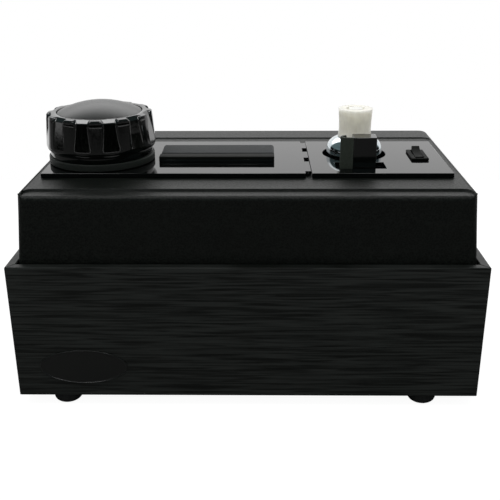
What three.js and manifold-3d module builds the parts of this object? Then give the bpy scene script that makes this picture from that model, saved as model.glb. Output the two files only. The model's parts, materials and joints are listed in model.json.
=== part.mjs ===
// Record cleaning machine, in millimetres, +Z up, front towards -Y.
// The origin lies on the table, under the middle of the cabinet.

import * as THREE from 'three';
import { mergeVertices } from 'three/addons/utils/BufferGeometryUtils.js';
import Module from 'manifold-3d';

const wasm = await Module();
wasm.setup();

// Clearances that the pieces share, how far a cut runs past, and how near two points count as one
const film = 0.1;
const seat = 0.3;
const overrun = 20;
const weld = 1e-5;

// Facets round a turned piece
const fine = 36;
const medium = 24;
const coarse = 16;

// Driving sizes of each piece
const foot = {
  height: 9, radius: 11.4, edge: 4.4, edgeShare: 0.3, insetLeft: 36.4, insetRight: 42, insetY: 12.2,
};
const footScrew = { head: 3.6, headHeight: 2.2, shank: 1.9, grip: 6.5, recess: 4.8 };
const cabinet = { width: 368, depth: 231.6, height: 111.9, wall: 6.7, floor: 8 };
const cleat = { width: 12, height: 12, endGap: 11.1 };
const badge = { left: 53.8, rise: 26.4, halfWidth: 34.8, halfHeight: 14.7, thickness: 0.8 };

const hood = {
  gapX: 1.5, gapY: 2, skirt: 20.9, rise: 54.15, rim: 1, wall: 3, draftShare: 0.0537,
  corner: 3, innerCorner: 4, edge: 4.7, sideRim: 3, recessShare: 0.418702, recessCorner: 8,
  ledge: 1.8, ledgeDepth: 13.8, ledgeCorner: 6, ledgeSide: 0.4, frontChamfer: 3,
  edgeDegrees: [0, 30, 60, 90],
};
const opening = { marginX: 8, marginFront: 7.5, marginBack: 7.5, barLeft: 13, barRight: 7 };

const plates = {
  thickness: 3.8, insetLeft: 12.9, insetRight: 13.9, depth: 105.9, frontShare: 0.4238647,
  rightWidth: 112.4, seamGap: 0.4,
};
const notch = { depth: 4, length: 12.4, first: -25.5, second: 6.9, cornerDepth: 4.6, corner: 6.5 };

const hub = { insetLeft: 41.3, insetFront: 46 };
const bush = { radius: 8, flange: 16, flangeHeight: 4, length: 26, bore: 3.85, fit: 0.3 };
const spindle = { radius: 3.6, below: 34, above: 27, tip: 1.6, tipHeight: 4 };
const clip = { radius: 7, height: 1.6, fit: 0.2 };
const platter = { radius: 40.6, gap: 0.6, disc: 2.2, boss: 12, bossHeight: 0.3 };
const mat = { radius: 43.8, bottom: 0.5, top: 6.03, bore: 4.2 };
const cap = {
  neck: 42.4, neckTop: 14.4, radiusLow: 46.2, radiusHigh: 44.2, facetLow: 16, facetHigh: 36.4,
  shoulder: 38.9, ringRadius: 38.6, top: 41.2, recess: 35.2, recessDepth: 2.6, flute: 1.5,
  bore: 4, boreTop: 30, lip: 1.2,
};
const capLobes = { count: 12, fluteDegrees: 16.7, flankDegrees: 1.1, firstDegrees: -110.6 };
const insert = { radius: 34.7, edge: 3.6, dome: 7, domeRings: 5 };

const head = {
  gapMat: 5.3, gapSeam: 25.2, slitShift: 1.55, frontReach: 13.8, backReach: 24.95, base: 2,
  slit: 3.3, slitMargin: 3.9, neckWall: 3, holeFit: 0.4,
};
const frontLip = { height: 2.5, setBack: 1, edge: 0.8 };
const rearLip = { height: 5.4, setBack: 1.2, edge: 2, backEdge: 5 };
const duct = { wall: 2, straight: 10, taper: 24, spigot: 12.5, spigotLength: 14, corner: 3 };
const hose = { wall: 2.5, margin: 2 };

const tank = {
  gapLeft: 17.3, gapFront: 9.1, gapBack: 11.1, width: 180, height: 55, wall: 2.5, corner: 4,
};
const lid = { thickness: 3, spigotHeight: 16, spigotWall: 2, fanHole: 17 };
const drain = { insetRight: 40, rise: 9, radius: 6, bore: 4, inside: 3.4, stop: 4.6 };
const plug = {
  fit: 0.3, depth: 9, head: 9.5, hole: 11.5, set: 0.3, grip: 3, gripWidth: 2, gripRoot: 0.5,
  gripShare: 0.7,
};

const vacuum = { insetLeft: 55, insetBack: 58 };
const fanBase = { thickness: 2.5, inlet: 16 };
const fanHousing = { radius: 50, height: 25, wall: 2.5, shaftHole: 8 };
const port = { width: 36, height: 18, rise: 3, wall: 1.5, rootShare: 0.8 };
const fan = {
  radius: 43.5, disc: 2, hub: 10, height: 15, clear: 3, blade: 1.4, bladeCount: 8, bladeSteps: 4,
  sweepRadians: 0.5,
};
const vacuumShaft = { radius: 4, fit: 0.3, below: 1, above: 4 };
const vacuumMotor = { radius: 38, can: 28, shoulder: 30, neck: 8, boss: 12, bossHeight: 6 };
const grille = { width: 40, height: 22, depth: 4, slots: 6, slot: 3.2, border: 3 };

const inlet = {
  insetRight: 67.3, rise: 31, width: 30, height: 23, depth: 23.3, flange: 9, flangeThickness: 2.5,
  cavityWall: 3, cavityDepth: 18.3, pinWidth: 2, pinHeight: 4, pinLength: 11.5, pinStep: 7,
  pinDrop: 3,
};

const capstan = { insetRight: 72.5, insetFront: 64.1, hole: 27.15 };
const leverSlot = { left: 19.3, right: 21.2, front: 50.3, back: 30.8 };
const dome = { radius: 23.8, halfHeight: 16.1, centre: 3, cut: 9, boss: 10, bossLength: 8, rings: 6 };
const roller = {
  bore: 4.3, base: 16.4, waist: 13.5, top: 14.5, flare: 3, waistLow: 7, waistHigh: 14,
  height: 39.2, pocket: 8, pocketDepth: 3.4,
};
const nut = { radius: 6.4, height: 3, bore: 2.2 };
const shaft = { radius: 4, fit: 0.3, engage: 10, tail: 1.4 };
const carriage = { drop: 25, plate: 3, halfWidth: 20, back: 30, front: 48.4, shaftHole: 6 };
const sleeve = { halfWidth: 6, height: 12, length: 41.7, fit: 0.25 };
const rod = { radius: 3, spread: 24, rise: 6, overhang: 1.5 };
const bracket = {
  left: 28, right: 40, thickness: 3, halfWidth: 34, margin: 3, ear: 8, earWidth: 6, earHeight: 3,
};
const spring = { radius: 5.2, wire: 0.7, turns: 7, steps: 8, sides: 5, gap: 0.4 };
const gearbox = { radius: 26, height: 20 };
const driveMotor = { radius: 24, height: 38, edge: 2, stub: 12, stubHeight: 4 };
const lever = {
  left: 16.2, split: 6, right: 12.7, front: 47.9, depth: 14.6, rise: 24.6, wall: 2.2, hook: 5.1,
};

const toggle = {
  insetRight: 19.9, insetFront: 52.75, halfWidth: 7.2, halfLength: 14.8, bezel: 2, bodyHalfWidth: 6.1,
  bodyHalfLength: 13.2, bodyDepth: 24, holeFit: 0.3,
};
const rocker = {
  halfWidth: 3.4, sideFit: 0.25, pivot: 0, sweep: 12.6, halfLength: 11.6, endRise: 4.7,
  midRise: 2.5, footHalf: 8.6, footDrop: 4, tiltDegrees: 9,
};
const lead = { radius: 2.6, arcSteps: 4, steps: 12 };

// Places worked out from the sizes
const cabinetTop = foot.height + cabinet.height;
const innerX = cabinet.width / 2 - cabinet.wall;
const innerY = cabinet.depth / 2 - cabinet.wall;
const floorTop = foot.height + cabinet.floor;
const hoodBottom = cabinetTop - hood.skirt;
const deck = cabinetTop + hood.rise;
const plateLeft = -innerX + plates.insetLeft;
const plateRight = innerX - plates.insetRight;
const plateFront = -innerY + (2 * innerY - plates.depth) * plates.frontShare;
const plateBack = plateFront + plates.depth;
const seamX = plateRight - plates.rightWidth;
const hubX = plateLeft + hub.insetLeft;
const hubY = plateFront + hub.insetFront;
const headLeft = hubX + mat.radius + head.gapMat;
const headRight = seamX - notch.depth - head.gapSeam;
const headX = (headLeft + headRight) / 2;
const headHalf = (headRight - headLeft) / 2;
const slitHalf = headHalf - head.slitMargin;
const capstanX = plateRight - capstan.insetRight;
const capstanY = plateFront + capstan.insetFront;
const toggleX = plateRight - toggle.insetRight;
const toggleY = plateFront + toggle.insetFront;
const plateBottom = deck + film;
const plateTop = plateBottom + plates.thickness;
const underPlate = plates.thickness + film;
const slitY = hubY + head.slitShift;
const neckHalfY = head.slit / 2 + head.neckWall;
const neckHalfX = slitHalf + head.neckWall;
const tankLeft = -innerX + tank.gapLeft;
const tankRight = tankLeft + tank.width;
const tankFront = -innerY + tank.gapFront;
const tankBack = innerY - tank.gapBack;
const drainX = tankRight - drain.insetRight;
const vacuumX = tankLeft + vacuum.insetLeft;
const vacuumY = tankBack - vacuum.insetBack;
const inletX = innerX - inlet.insetRight;
const tankTop = floorTop + film + tank.height;
const lidTop = tankTop + film + lid.thickness;
const drainZ = floorTop + film + drain.rise;
const housingBottom = film + fanBase.thickness + film;
const housingTop = housingBottom + fanHousing.height;
const motorTop = housingTop + film + vacuumMotor.can + vacuumMotor.neck + vacuumMotor.bossHeight;
const inletZ = foot.height + inlet.rise;
const ductTop = -underPlate - seat;
const neckEnd = ductTop - duct.straight + seat;
const ductBottom = ductTop - duct.straight - duct.taper - duct.spigotLength;
const rodDrop = carriage.drop - rod.rise;
const sleeveLeft = -bracket.left + seat;
const sleeveRight = sleeveLeft + sleeve.length;
const gearboxTop = -carriage.drop - carriage.plate - film;
const driveMotorTop = gearboxTop - gearbox.height - film;
const domeTop = dome.centre + dome.halfHeight * Math.sqrt(1 - (roller.base / dome.radius) ** 2);
const rollerBottom = domeTop + film;
const toggleBottom = plateTop - toggle.bodyDepth;

// Materials
function finish(color, roughness, metalness) {
  return new THREE.MeshStandardMaterial({ color, roughness, metalness });
}

const woodVinyl = finish('#16191a', 0.55, 0);
const texturedPlastic = finish('#1b1f1d', 0.6, 0);
const glossPlastic = finish('#0b0c0d', 0.12, 0);
const mattPlastic = finish('#25282a', 0.65, 0);
const velvet = finish('#1c1d1f', 0.95, 0);
const rubber = finish('#151515', 0.85, 0);
const cream = finish('#e9e4cf', 0.5, 0);
const brightMetal = finish('#d7dde2', 0.15, 1);
const steel = finish('#9a9fa3', 0.35, 1);
const bronze = finish('#a5793f', 0.4, 1);
const board = finish('#7b5f41', 0.8, 0);
const whitePlastic = finish('#d8d8d2', 0.5, 0);

// Solids from geometries, and back
function solidOf(geometry) {
  const bare = geometry.clone();
  bare.deleteAttribute('normal');
  bare.deleteAttribute('uv');
  const merged = mergeVertices(bare, weld);
  const index = merged.index.array;
  const triangles = [];
  for (let i = 0; i < index.length; i += 3) {
    const [a, b, c] = [index[i], index[i + 1], index[i + 2]];
    if (a !== b && b !== c && c !== a) {
      triangles.push(a, b, c);
    }
  }
  return new wasm.Manifold(new wasm.Mesh({
    numProp: 3,
    vertProperties: new Float32Array(merged.attributes.position.array),
    triVerts: new Uint32Array(triangles),
  }));
}

function geometryOf(solid) {
  const { vertProperties, triVerts } = solid.getMesh();
  const geometry = new THREE.BufferGeometry();
  geometry.setAttribute('position', new THREE.BufferAttribute(new Float32Array(vertProperties), 3));
  geometry.setIndex(new THREE.BufferAttribute(new Uint32Array(triVerts), 1));
  geometry.computeVertexNormals();
  return geometry;
}

// The first geometry joined with some others, less the rest
function carve(base, added, removed) {
  let solid = solidOf(base);
  for (const geometry of added) {
    solid = solid.add(solidOf(geometry));
  }
  for (const geometry of removed) {
    solid = solid.subtract(solidOf(geometry));
  }
  return geometryOf(solid);
}

// Basic forms
function block(x0, x1, y0, y1, z0, z1) {
  const geometry = new THREE.BoxGeometry(x1 - x0, y1 - y0, z1 - z0);
  return geometry.translate((x0 + x1) / 2, (y0 + y1) / 2, (z0 + z1) / 2);
}

function turned(profile, facets = medium) {
  const points = profile.map(([radius, height]) => new THREE.Vector2(radius, height));
  return new THREE.LatheGeometry(points, facets).rotateX(Math.PI / 2);
}

function rodOf(radius, z0, z1, facets = coarse) {
  return turned([[0, z0], [radius, z0], [radius, z1], [0, z1]], facets);
}

function washerOf(inner, outer, z0, z1, facets = medium) {
  return turned([[inner, z0], [outer, z0], [outer, z1], [inner, z1], [inner, z0]], facets);
}

// A form turned about Z, laid along X or along +Y
function alongX(geometry) {
  return geometry.rotateY(Math.PI / 2);
}

function alongY(geometry) {
  return geometry.rotateX(-Math.PI / 2);
}

function outline(points) {
  return new THREE.Shape(points.map(([x, y]) => new THREE.Vector2(x, y)));
}

function slab(shape, z0, z1, curveSegments = 8) {
  const options = { depth: z1 - z0, bevelEnabled: false, steps: 1, curveSegments };
  return new THREE.ExtrudeGeometry(shape, options).translate(0, 0, z0);
}

// A section in Y and Z, drawn out along X
function barAlongX(shape, x0, x1, curveSegments = 8) {
  const turn = new THREE.Matrix4().makeBasis(
    new THREE.Vector3(0, 1, 0),
    new THREE.Vector3(0, 0, 1),
    new THREE.Vector3(1, 0, 0),
  );
  return slab(shape, x0, x1, curveSegments).applyMatrix4(turn);
}

// A section in X and Z, drawn out along Y
function barAlongY(shape, y0, y1, curveSegments = 8) {
  return slab(shape, -y1, -y0, curveSegments).rotateX(Math.PI / 2);
}

function roundedRing(x0, x1, y0, y1, radius, z, perCorner = 5) {
  const centres = [
    [x1 - radius, y0 + radius, -Math.PI / 2],
    [x1 - radius, y1 - radius, 0],
    [x0 + radius, y1 - radius, Math.PI / 2],
    [x0 + radius, y0 + radius, Math.PI],
  ];
  const ring = [];
  for (const [cx, cy, start] of centres) {
    for (let i = 0; i <= perCorner; i += 1) {
      const angle = start + ((Math.PI / 2) * i) / perCorner;
      ring.push([cx + radius * Math.cos(angle), cy + radius * Math.sin(angle), z]);
    }
  }
  return ring;
}

// Rings of equal count joined from the lowest up, with flat ends or as a closed loop of rings
function loft(rings, loop = false) {
  const count = rings[0].length;
  const positions = rings.flat(2);
  const index = [];
  const spans = loop ? rings.length : rings.length - 1;
  for (let r = 0; r < spans; r += 1) {
    const low = r * count;
    const high = ((r + 1) % rings.length) * count;
    for (let i = 0; i < count; i += 1) {
      const next = (i + 1) % count;
      index.push(low + i, low + next, high + next, low + i, high + next, high + i);
    }
  }
  if (!loop) {
    const last = (rings.length - 1) * count;
    for (let i = 1; i < count - 1; i += 1) {
      index.push(0, i + 1, i);
      index.push(last, last + i, last + i + 1);
    }
  }
  const geometry = new THREE.BufferGeometry();
  geometry.setAttribute('position', new THREE.Float32BufferAttribute(positions, 3));
  geometry.setIndex(index);
  geometry.computeVertexNormals();
  return geometry;
}

function roundedSlab(x0, x1, y0, y1, radius, z0, z1) {
  return loft([
    roundedRing(x0, x1, y0, y1, radius, z0),
    roundedRing(x0, x1, y0, y1, radius, z1),
  ]);
}

function piece(name, geometry, material) {
  const mesh = new THREE.Mesh(geometry, material);
  mesh.name = name;
  return mesh;
}

function assembly(x, y, z, pieces) {
  const group = new THREE.Group();
  group.position.set(x, y, z);
  group.add(...pieces);
  return group;
}

// Cabinet
function mitredPanel(length) {
  const half = length / 2 - film;
  return outline([
    [-half, 0],
    [half, 0],
    [half - cabinet.wall, cabinet.wall],
    [-half + cabinet.wall, cabinet.wall],
  ]);
}

function cabinetWall(name, length, distance, turn, removed = []) {
  const raw = slab(mitredPanel(length), foot.height, cabinetTop);
  const geometry = removed.length ? carve(raw, [], removed) : raw;
  const mesh = piece(name, geometry, woodVinyl);
  const side = new THREE.Group();
  side.rotation.z = turn;
  mesh.position.y = -distance;
  side.add(mesh);
  return side;
}

// Windows of the back panel, in the panel's own turned frame, where +X runs to the left
function backWindows() {
  const past = cabinet.wall + overrun;
  const exhaustZ = lidTop + housingBottom + port.rise + port.height / 2;
  return [
    block(
      -inletX - inlet.width / 2, -inletX + inlet.width / 2, -overrun, past,
      inletZ - inlet.height / 2, inletZ + inlet.height / 2,
    ),
    block(
      -vacuumX - grille.width / 2, -vacuumX + grille.width / 2, -overrun, past,
      exhaustZ - grille.height / 2, exhaustZ + grille.height / 2,
    ),
    alongY(rodOf(plug.hole, -overrun, past)).translate(-drainX, 0, drainZ),
  ];
}

function cabinetFloor() {
  const holes = footPlaces().map(([, x, y]) => (
    rodOf(footScrew.shank + seat, foot.height - overrun, floorTop + overrun, coarse).translate(x, y, 0)
  ));
  const plain = block(
    -innerX + film, innerX - film, -innerY + film, innerY - film, foot.height, floorTop,
  );
  return piece('bottom_panel', carve(plain, [], holes), board);
}

function footPlaces() {
  const left = -cabinet.width / 2 + foot.insetLeft;
  const right = cabinet.width / 2 - foot.insetRight;
  const y = cabinet.depth / 2 - foot.insetY;
  return [
    ['front_left', left, -y],
    ['front_right', right, -y],
    ['back_left', left, y],
    ['back_right', right, y],
  ];
}

function rubberFoot(name) {
  const bore = footScrew.shank + seat;
  const recess = footScrew.head + seat;
  const { radius, height, edge, edgeShare } = foot;
  const profile = [
    [bore, footScrew.recess],
    [recess, footScrew.recess],
    [recess, 0],
    [radius - edge, 0],
    [radius - edge * edgeShare, edge * edgeShare],
    [radius, edge],
    [radius, height - film],
    [bore, height - film],
    [bore, footScrew.recess],
  ];
  return piece(`foot_${name}`, turned(profile), rubber);
}

function screwForFoot(name) {
  const seatZ = footScrew.recess - film;
  const profile = [
    [0, seatZ - footScrew.headHeight],
    [footScrew.head, seatZ - footScrew.headHeight],
    [footScrew.head, seatZ],
    [footScrew.shank, seatZ],
    [footScrew.shank, foot.height + footScrew.grip],
    [0, foot.height + footScrew.grip],
  ];
  return piece(`foot_screw_${name}`, turned(profile, coarse), steel);
}

function buildFeet() {
  return footPlaces().map(([name, x, y]) => (
    assembly(x, y, 0, [rubberFoot(name), screwForFoot(name)])
  ));
}

function buildCleats() {
  const outer = innerX - film;
  const inner = outer - cleat.width;
  const half = innerY - cleat.endGap;
  const low = hoodBottom - film - cleat.height;
  const high = hoodBottom - film;
  return [
    piece('hood_cleat_left', block(-outer, -inner, -half, half, low, high), board),
    piece('hood_cleat_right', block(inner, outer, -half, half, low, high), board),
  ];
}

function buildBadge() {
  const shape = new THREE.Shape();
  shape.absellipse(0, 0, badge.halfWidth, badge.halfHeight, 0, Math.PI * 2, false, 0);
  const back = -cabinet.depth / 2 - film;
  const plate = barAlongY(shape, back - badge.thickness, back, coarse);
  const x = -cabinet.width / 2 + badge.left;
  return piece('badge_plate', plate.translate(x, 0, foot.height + badge.rise), glossPlastic);
}

function buildCabinet() {
  const halfDepth = cabinet.depth / 2;
  const halfWidth = cabinet.width / 2;
  return [
    cabinetWall('front_panel', cabinet.width, halfDepth, 0),
    cabinetWall('right_panel', cabinet.depth, halfWidth, Math.PI / 2),
    cabinetWall('back_panel', cabinet.width, halfDepth, Math.PI, backWindows()),
    cabinetWall('left_panel', cabinet.depth, halfWidth, -Math.PI / 2),
    cabinetFloor(),
    ...buildCleats(),
    ...buildFeet(),
    buildBadge(),
  ];
}

// Hood
function hoodHalves(z, inset) {
  const lean = hood.draftShare * (z - cabinetTop);
  return [innerX - hood.gapX - lean - inset, innerY - hood.gapY - lean - inset];
}

function hoodRing(z, inset, corner) {
  const [x, y] = hoodHalves(z, inset);
  return roundedRing(-x, x, -y, y, corner, z);
}

function hoodOuter() {
  const top = deck + hood.rim;
  const rings = [hoodRing(hoodBottom, 0, hood.corner)];
  for (const angle of hood.edgeDegrees.map((degrees) => THREE.MathUtils.degToRad(degrees))) {
    const z = top - hood.edge + hood.edge * Math.sin(angle);
    rings.push(hoodRing(z, hood.edge * (1 - Math.cos(angle)), hood.corner));
  }
  return loft(rings);
}

function hoodInner() {
  return loft([
    hoodRing(hoodBottom - overrun, hood.wall, hood.innerCorner),
    hoodRing(deck - hood.wall - hood.edge / 2, hood.wall, hood.innerCorner),
    hoodRing(deck - hood.wall, hood.wall + hood.edge / 2, hood.innerCorner),
  ]);
}

// The recess round the plates, open to the ledge along the front
function hoodRecess() {
  const [x, y] = hoodHalves(deck, 0);
  const side = x - hood.sideRim;
  const back = plateBack + (innerY - plateBack) * hood.recessShare;
  return roundedSlab(-side, side, -y - overrun, back, hood.recessCorner, deck, deck + overrun);
}

function hoodLedge() {
  const [x, y] = hoodHalves(deck, 0);
  const side = x - hood.sideRim - hood.ledgeSide;
  const back = -y + hood.ledgeDepth;
  const low = deck - hood.ledge;
  return roundedSlab(-side, side, -y - overrun, back, hood.ledgeCorner, low, deck + overrun);
}

function hoodFrontChamfer() {
  const [x, y] = hoodHalves(deck, 0);
  const side = x - hood.sideRim - hood.ledgeSide;
  const low = deck - hood.ledge;
  const shape = outline([
    [-y - overrun, low - hood.frontChamfer - overrun],
    [-y + hood.frontChamfer + overrun, low + overrun],
    [-y - overrun, low + overrun],
  ]);
  return barAlongX(shape, -side, side);
}

function deckOpenings() {
  const y0 = plateFront + opening.marginFront;
  const y1 = plateBack - opening.marginBack;
  const low = deck - hood.wall - overrun;
  const high = deck + overrun;
  return [
    block(plateLeft + opening.marginX, seamX - opening.barLeft, y0, y1, low, high),
    block(seamX + opening.barRight, plateRight - opening.marginX, y0, y1, low, high),
  ];
}

function buildHood() {
  const removed = [hoodInner(), hoodRecess(), hoodLedge(), hoodFrontChamfer(), ...deckOpenings()];
  return piece('hood', carve(hoodOuter(), [], removed), texturedPlastic);
}

// Deck plates
function leftPlate() {
  const x0 = plateLeft;
  const x1 = seamX - plates.seamGap / 2;
  const y0 = plateFront;
  const y1 = plateBack;
  const shape = outline([
    [x0, y0],
    [x1 - notch.cornerDepth, y0],
    [x1 - notch.cornerDepth, y0 + notch.corner],
    [x1, y0 + notch.corner],
    [x1, notch.first],
    [x1 - notch.depth, notch.first],
    [x1 - notch.depth, notch.first + notch.length],
    [x1, notch.first + notch.length],
    [x1, notch.second],
    [x1 - notch.depth, notch.second],
    [x1 - notch.depth, notch.second + notch.length],
    [x1, notch.second + notch.length],
    [x1, y1 - notch.corner],
    [x1 - notch.cornerDepth, y1 - notch.corner],
    [x1 - notch.cornerDepth, y1],
    [x0, y1],
  ]);
  const bushHole = new THREE.Path();
  bushHole.absarc(hubX, hubY, bush.radius + bush.fit, 0, Math.PI * 2, true);
  const hx = neckHalfX + head.holeFit;
  const hy = neckHalfY + head.holeFit;
  const neckHole = new THREE.Path([
    new THREE.Vector2(headX - hx, slitY - hy),
    new THREE.Vector2(headX - hx, slitY + hy),
    new THREE.Vector2(headX + hx, slitY + hy),
    new THREE.Vector2(headX + hx, slitY - hy),
  ]);
  shape.holes.push(bushHole, neckHole);
  return piece('left_plate', slab(shape, plateBottom, plateTop, coarse), glossPlastic);
}

function rectangleHole(x0, x1, y0, y1) {
  return new THREE.Path([
    new THREE.Vector2(x0, y0),
    new THREE.Vector2(x0, y1),
    new THREE.Vector2(x1, y1),
    new THREE.Vector2(x1, y0),
  ]);
}

function rightPlate() {
  const x0 = seamX + plates.seamGap / 2;
  const shape = outline([
    [x0, plateFront],
    [plateRight, plateFront],
    [plateRight, plateBack],
    [x0, plateBack],
  ]);
  const round = new THREE.Path();
  round.absarc(capstanX, capstanY, capstan.hole, 0, Math.PI * 2, true);
  const slot = rectangleHole(
    capstanX - leverSlot.left, capstanX + leverSlot.right,
    capstanY - leverSlot.front, capstanY - leverSlot.back,
  );
  const hx = toggle.bodyHalfWidth + toggle.holeFit;
  const hy = toggle.bodyHalfLength + toggle.holeFit;
  const window = rectangleHole(toggleX - hx, toggleX + hx, toggleY - hy, toggleY + hy);
  shape.holes.push(round, slot, window);
  return piece('right_plate', slab(shape, plateBottom, plateTop, coarse), glossPlastic);
}

// Hub: bush, spindle, platter and mat, with its origin on the plate's top
function spindleBush() {
  const flangeTop = -underPlate;
  const profile = [
    [bush.bore, -bush.length],
    [bush.radius, -bush.length],
    [bush.radius, flangeTop - bush.flangeHeight],
    [bush.flange, flangeTop - bush.flangeHeight],
    [bush.flange, flangeTop],
    [bush.radius, flangeTop],
    [bush.radius, 0],
    [bush.bore, 0],
    [bush.bore, -bush.length],
  ];
  return piece('spindle_bush', turned(profile), bronze);
}

function spindlePin() {
  const profile = [
    [0, -spindle.below],
    [spindle.radius, -spindle.below],
    [spindle.radius, spindle.above - spindle.tipHeight],
    [spindle.tip, spindle.above],
    [0, spindle.above],
  ];
  return piece('spindle', turned(profile), steel);
}

function spindleClip() {
  const top = -bush.length - seat;
  const bore = spindle.radius + clip.fit;
  return piece('spindle_clip', washerOf(bore, clip.radius, top - clip.height, top), steel);
}

function platterDisc() {
  const bore = spindle.radius + clip.fit;
  const profile = [
    [bore, platter.bossHeight],
    [platter.boss, platter.bossHeight],
    [platter.boss, platter.gap],
    [platter.radius, platter.gap],
    [platter.radius, platter.gap + platter.disc],
    [bore, platter.gap + platter.disc],
    [bore, platter.bossHeight],
  ];
  return piece('platter', turned(profile, fine), mattPlastic);
}

function platterMat() {
  const under = platter.gap + platter.disc + film;
  const inner = platter.radius + seat;
  const profile = [
    [mat.bore, under],
    [inner, under],
    [inner, mat.bottom],
    [mat.radius, mat.bottom],
    [mat.radius, mat.top],
    [mat.bore, mat.top],
    [mat.bore, under],
  ];
  return piece('platter_mat', turned(profile, fine), rubber);
}

// Record cap: round neck below, flutes between flat ribs above
function capRing(radius, flute, z) {
  const ring = [];
  const half = capLobes.fluteDegrees / 2;
  const pitch = 360 / capLobes.count;
  for (let k = 0; k < capLobes.count; k += 1) {
    const centre = capLobes.firstDegrees + k * pitch;
    for (const [offset, depth] of [
      [-half - capLobes.flankDegrees, 0],
      [-half, flute],
      [half, flute],
      [half + capLobes.flankDegrees, 0],
    ]) {
      const angle = THREE.MathUtils.degToRad(centre + offset);
      ring.push([(radius - depth) * Math.cos(angle), (radius - depth) * Math.sin(angle), z]);
    }
  }
  return ring;
}

function capBody() {
  const bottom = mat.top + seat;
  const floor = cap.top - cap.recessDepth;
  const flanks = loft([
    capRing(cap.neck, 0, bottom),
    capRing(cap.neck, 0, cap.neckTop),
    capRing(cap.radiusLow - cap.lip, 0, cap.neckTop),
    capRing(cap.radiusLow, cap.flute, cap.facetLow),
    capRing(cap.radiusHigh, cap.flute, cap.facetHigh),
    capRing(cap.radiusHigh - cap.lip / 2, 0, cap.shoulder),
    capRing(cap.ringRadius, 0, cap.top),
  ]);
  const removed = [
    rodOf(cap.recess, floor, cap.top + overrun, fine),
    rodOf(cap.bore, bottom - overrun, cap.boreTop, medium),
  ];
  return piece('record_cap', carve(flanks, [], removed), glossPlastic);
}

function capInsert() {
  const low = cap.top - cap.recessDepth + film;
  const edgeTop = low + insert.edge;
  const profile = [[0, low], [insert.radius, low], [insert.radius, edgeTop]];
  const sphere = (insert.radius ** 2 + insert.dome ** 2) / (2 * insert.dome);
  for (let i = 1; i < insert.domeRings; i += 1) {
    const radius = insert.radius * (1 - i / insert.domeRings);
    const drop = sphere - Math.sqrt(sphere ** 2 - radius ** 2);
    profile.push([radius, edgeTop + insert.dome - drop]);
  }
  profile.push([0, edgeTop + insert.dome]);
  return piece('cap_insert', turned(profile, fine), mattPlastic);
}

function buildHub() {
  const pieces = [
    spindleBush(), spindlePin(), spindleClip(), platterDisc(), platterMat(), capBody(), capInsert(),
  ];
  return assembly(hubX, hubY, plateTop, pieces);
}

// Suction head, with its origin over the slit's middle on the plate's top
function suctionHead() {
  const y0 = -head.frontReach;
  const y1 = head.backReach;
  const base = block(-headHalf, headHalf, y0, y1, film, film + head.base);
  const neck = block(-neckHalfX, neckHalfX, -neckHalfY, neckHalfY, neckEnd, film + head.base / 2);
  const slit = block(
    -slitHalf, slitHalf, -head.slit / 2, head.slit / 2,
    neckEnd - overrun, head.base + overrun,
  );
  return piece('suction_head', carve(base, [neck], [slit]), glossPlastic);
}

function smoothLip() {
  const low = film + head.base + film;
  const high = low + frontLip.height;
  const y0 = -head.frontReach;
  const y1 = -head.slit / 2 - frontLip.setBack;
  const section = outline([
    [y0, low],
    [y1, low],
    [y1, high - frontLip.edge],
    [y1 - frontLip.edge, high],
    [y0 + frontLip.edge, high],
    [y0, high - frontLip.edge],
  ]);
  return piece('front_lip', barAlongX(section, -headHalf, headHalf), glossPlastic);
}

function velvetLip() {
  const low = film + head.base + film;
  const high = low + rearLip.height;
  const y0 = head.slit / 2 + rearLip.setBack;
  const y1 = head.backReach;
  const section = new THREE.Shape();
  section.moveTo(y0, low);
  section.lineTo(y1, low);
  section.lineTo(y1, high - rearLip.backEdge);
  section.quadraticCurveTo(y1, high, y1 - rearLip.backEdge, high);
  section.lineTo(y0 + rearLip.edge, high);
  section.quadraticCurveTo(y0, high, y0, high - rearLip.edge);
  section.lineTo(y0, low);
  return piece('rear_lip', barAlongX(section, -headHalf, headHalf, 5), velvet);
}

function suctionDuct() {
  const ring = (halfX, halfY, radius, z) => roundedRing(-halfX, halfX, -halfY, halfY, radius, z);
  const innerHalfX = neckHalfX + seat;
  const innerHalfY = neckHalfY + seat;
  const outerHalfX = innerHalfX + duct.wall;
  const outerHalfY = innerHalfY + duct.wall;
  const innerCorner = duct.corner - duct.wall;
  const bend = ductTop - duct.straight;
  const throat = bend - duct.taper;
  const inner = duct.spigot - duct.wall;
  const rings = [
    ring(duct.spigot, duct.spigot, duct.spigot, ductBottom),
    ring(duct.spigot, duct.spigot, duct.spigot, throat),
    ring(outerHalfX, outerHalfY, duct.corner, bend),
    ring(outerHalfX, outerHalfY, duct.corner, ductTop),
    ring(innerHalfX, innerHalfY, innerCorner, ductTop),
    ring(innerHalfX, innerHalfY, innerCorner, bend),
    ring(inner, inner, inner, throat),
    ring(inner, inner, inner, ductBottom),
  ];
  return piece('suction_duct', loft(rings, true), mattPlastic);
}

function buildSuctionHead() {
  const pieces = [suctionHead(), smoothLip(), velvetLip(), suctionDuct()];
  return assembly(headX, slitY, plateTop, pieces);
}

// The hose slips over the duct's spigot above and the lid's below
function suctionHose() {
  const low = lidTop + hose.margin;
  const high = plateTop + ductBottom + duct.spigotLength - hose.margin;
  const inner = duct.spigot + seat;
  const sleeve = washerOf(inner, inner + hose.wall, low, high);
  return piece('suction_hose', sleeve.translate(headX, slitY, 0), rubber);
}

// Waste tank with its lid and drain
function wasteTank() {
  const low = floorTop + film;
  const outer = roundedSlab(tankLeft, tankRight, tankFront, tankBack, tank.corner, low, tankTop);
  const inner = roundedSlab(
    tankLeft + tank.wall, tankRight - tank.wall, tankFront + tank.wall, tankBack - tank.wall,
    tank.corner - tank.wall, low + tank.wall, tankTop + overrun,
  );
  const hole = alongY(rodOf(drain.radius + seat, -overrun, overrun)).translate(drainX, tankBack, drainZ);
  return piece('waste_tank', carve(outer, [], [inner, hole]), whitePlastic);
}

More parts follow.
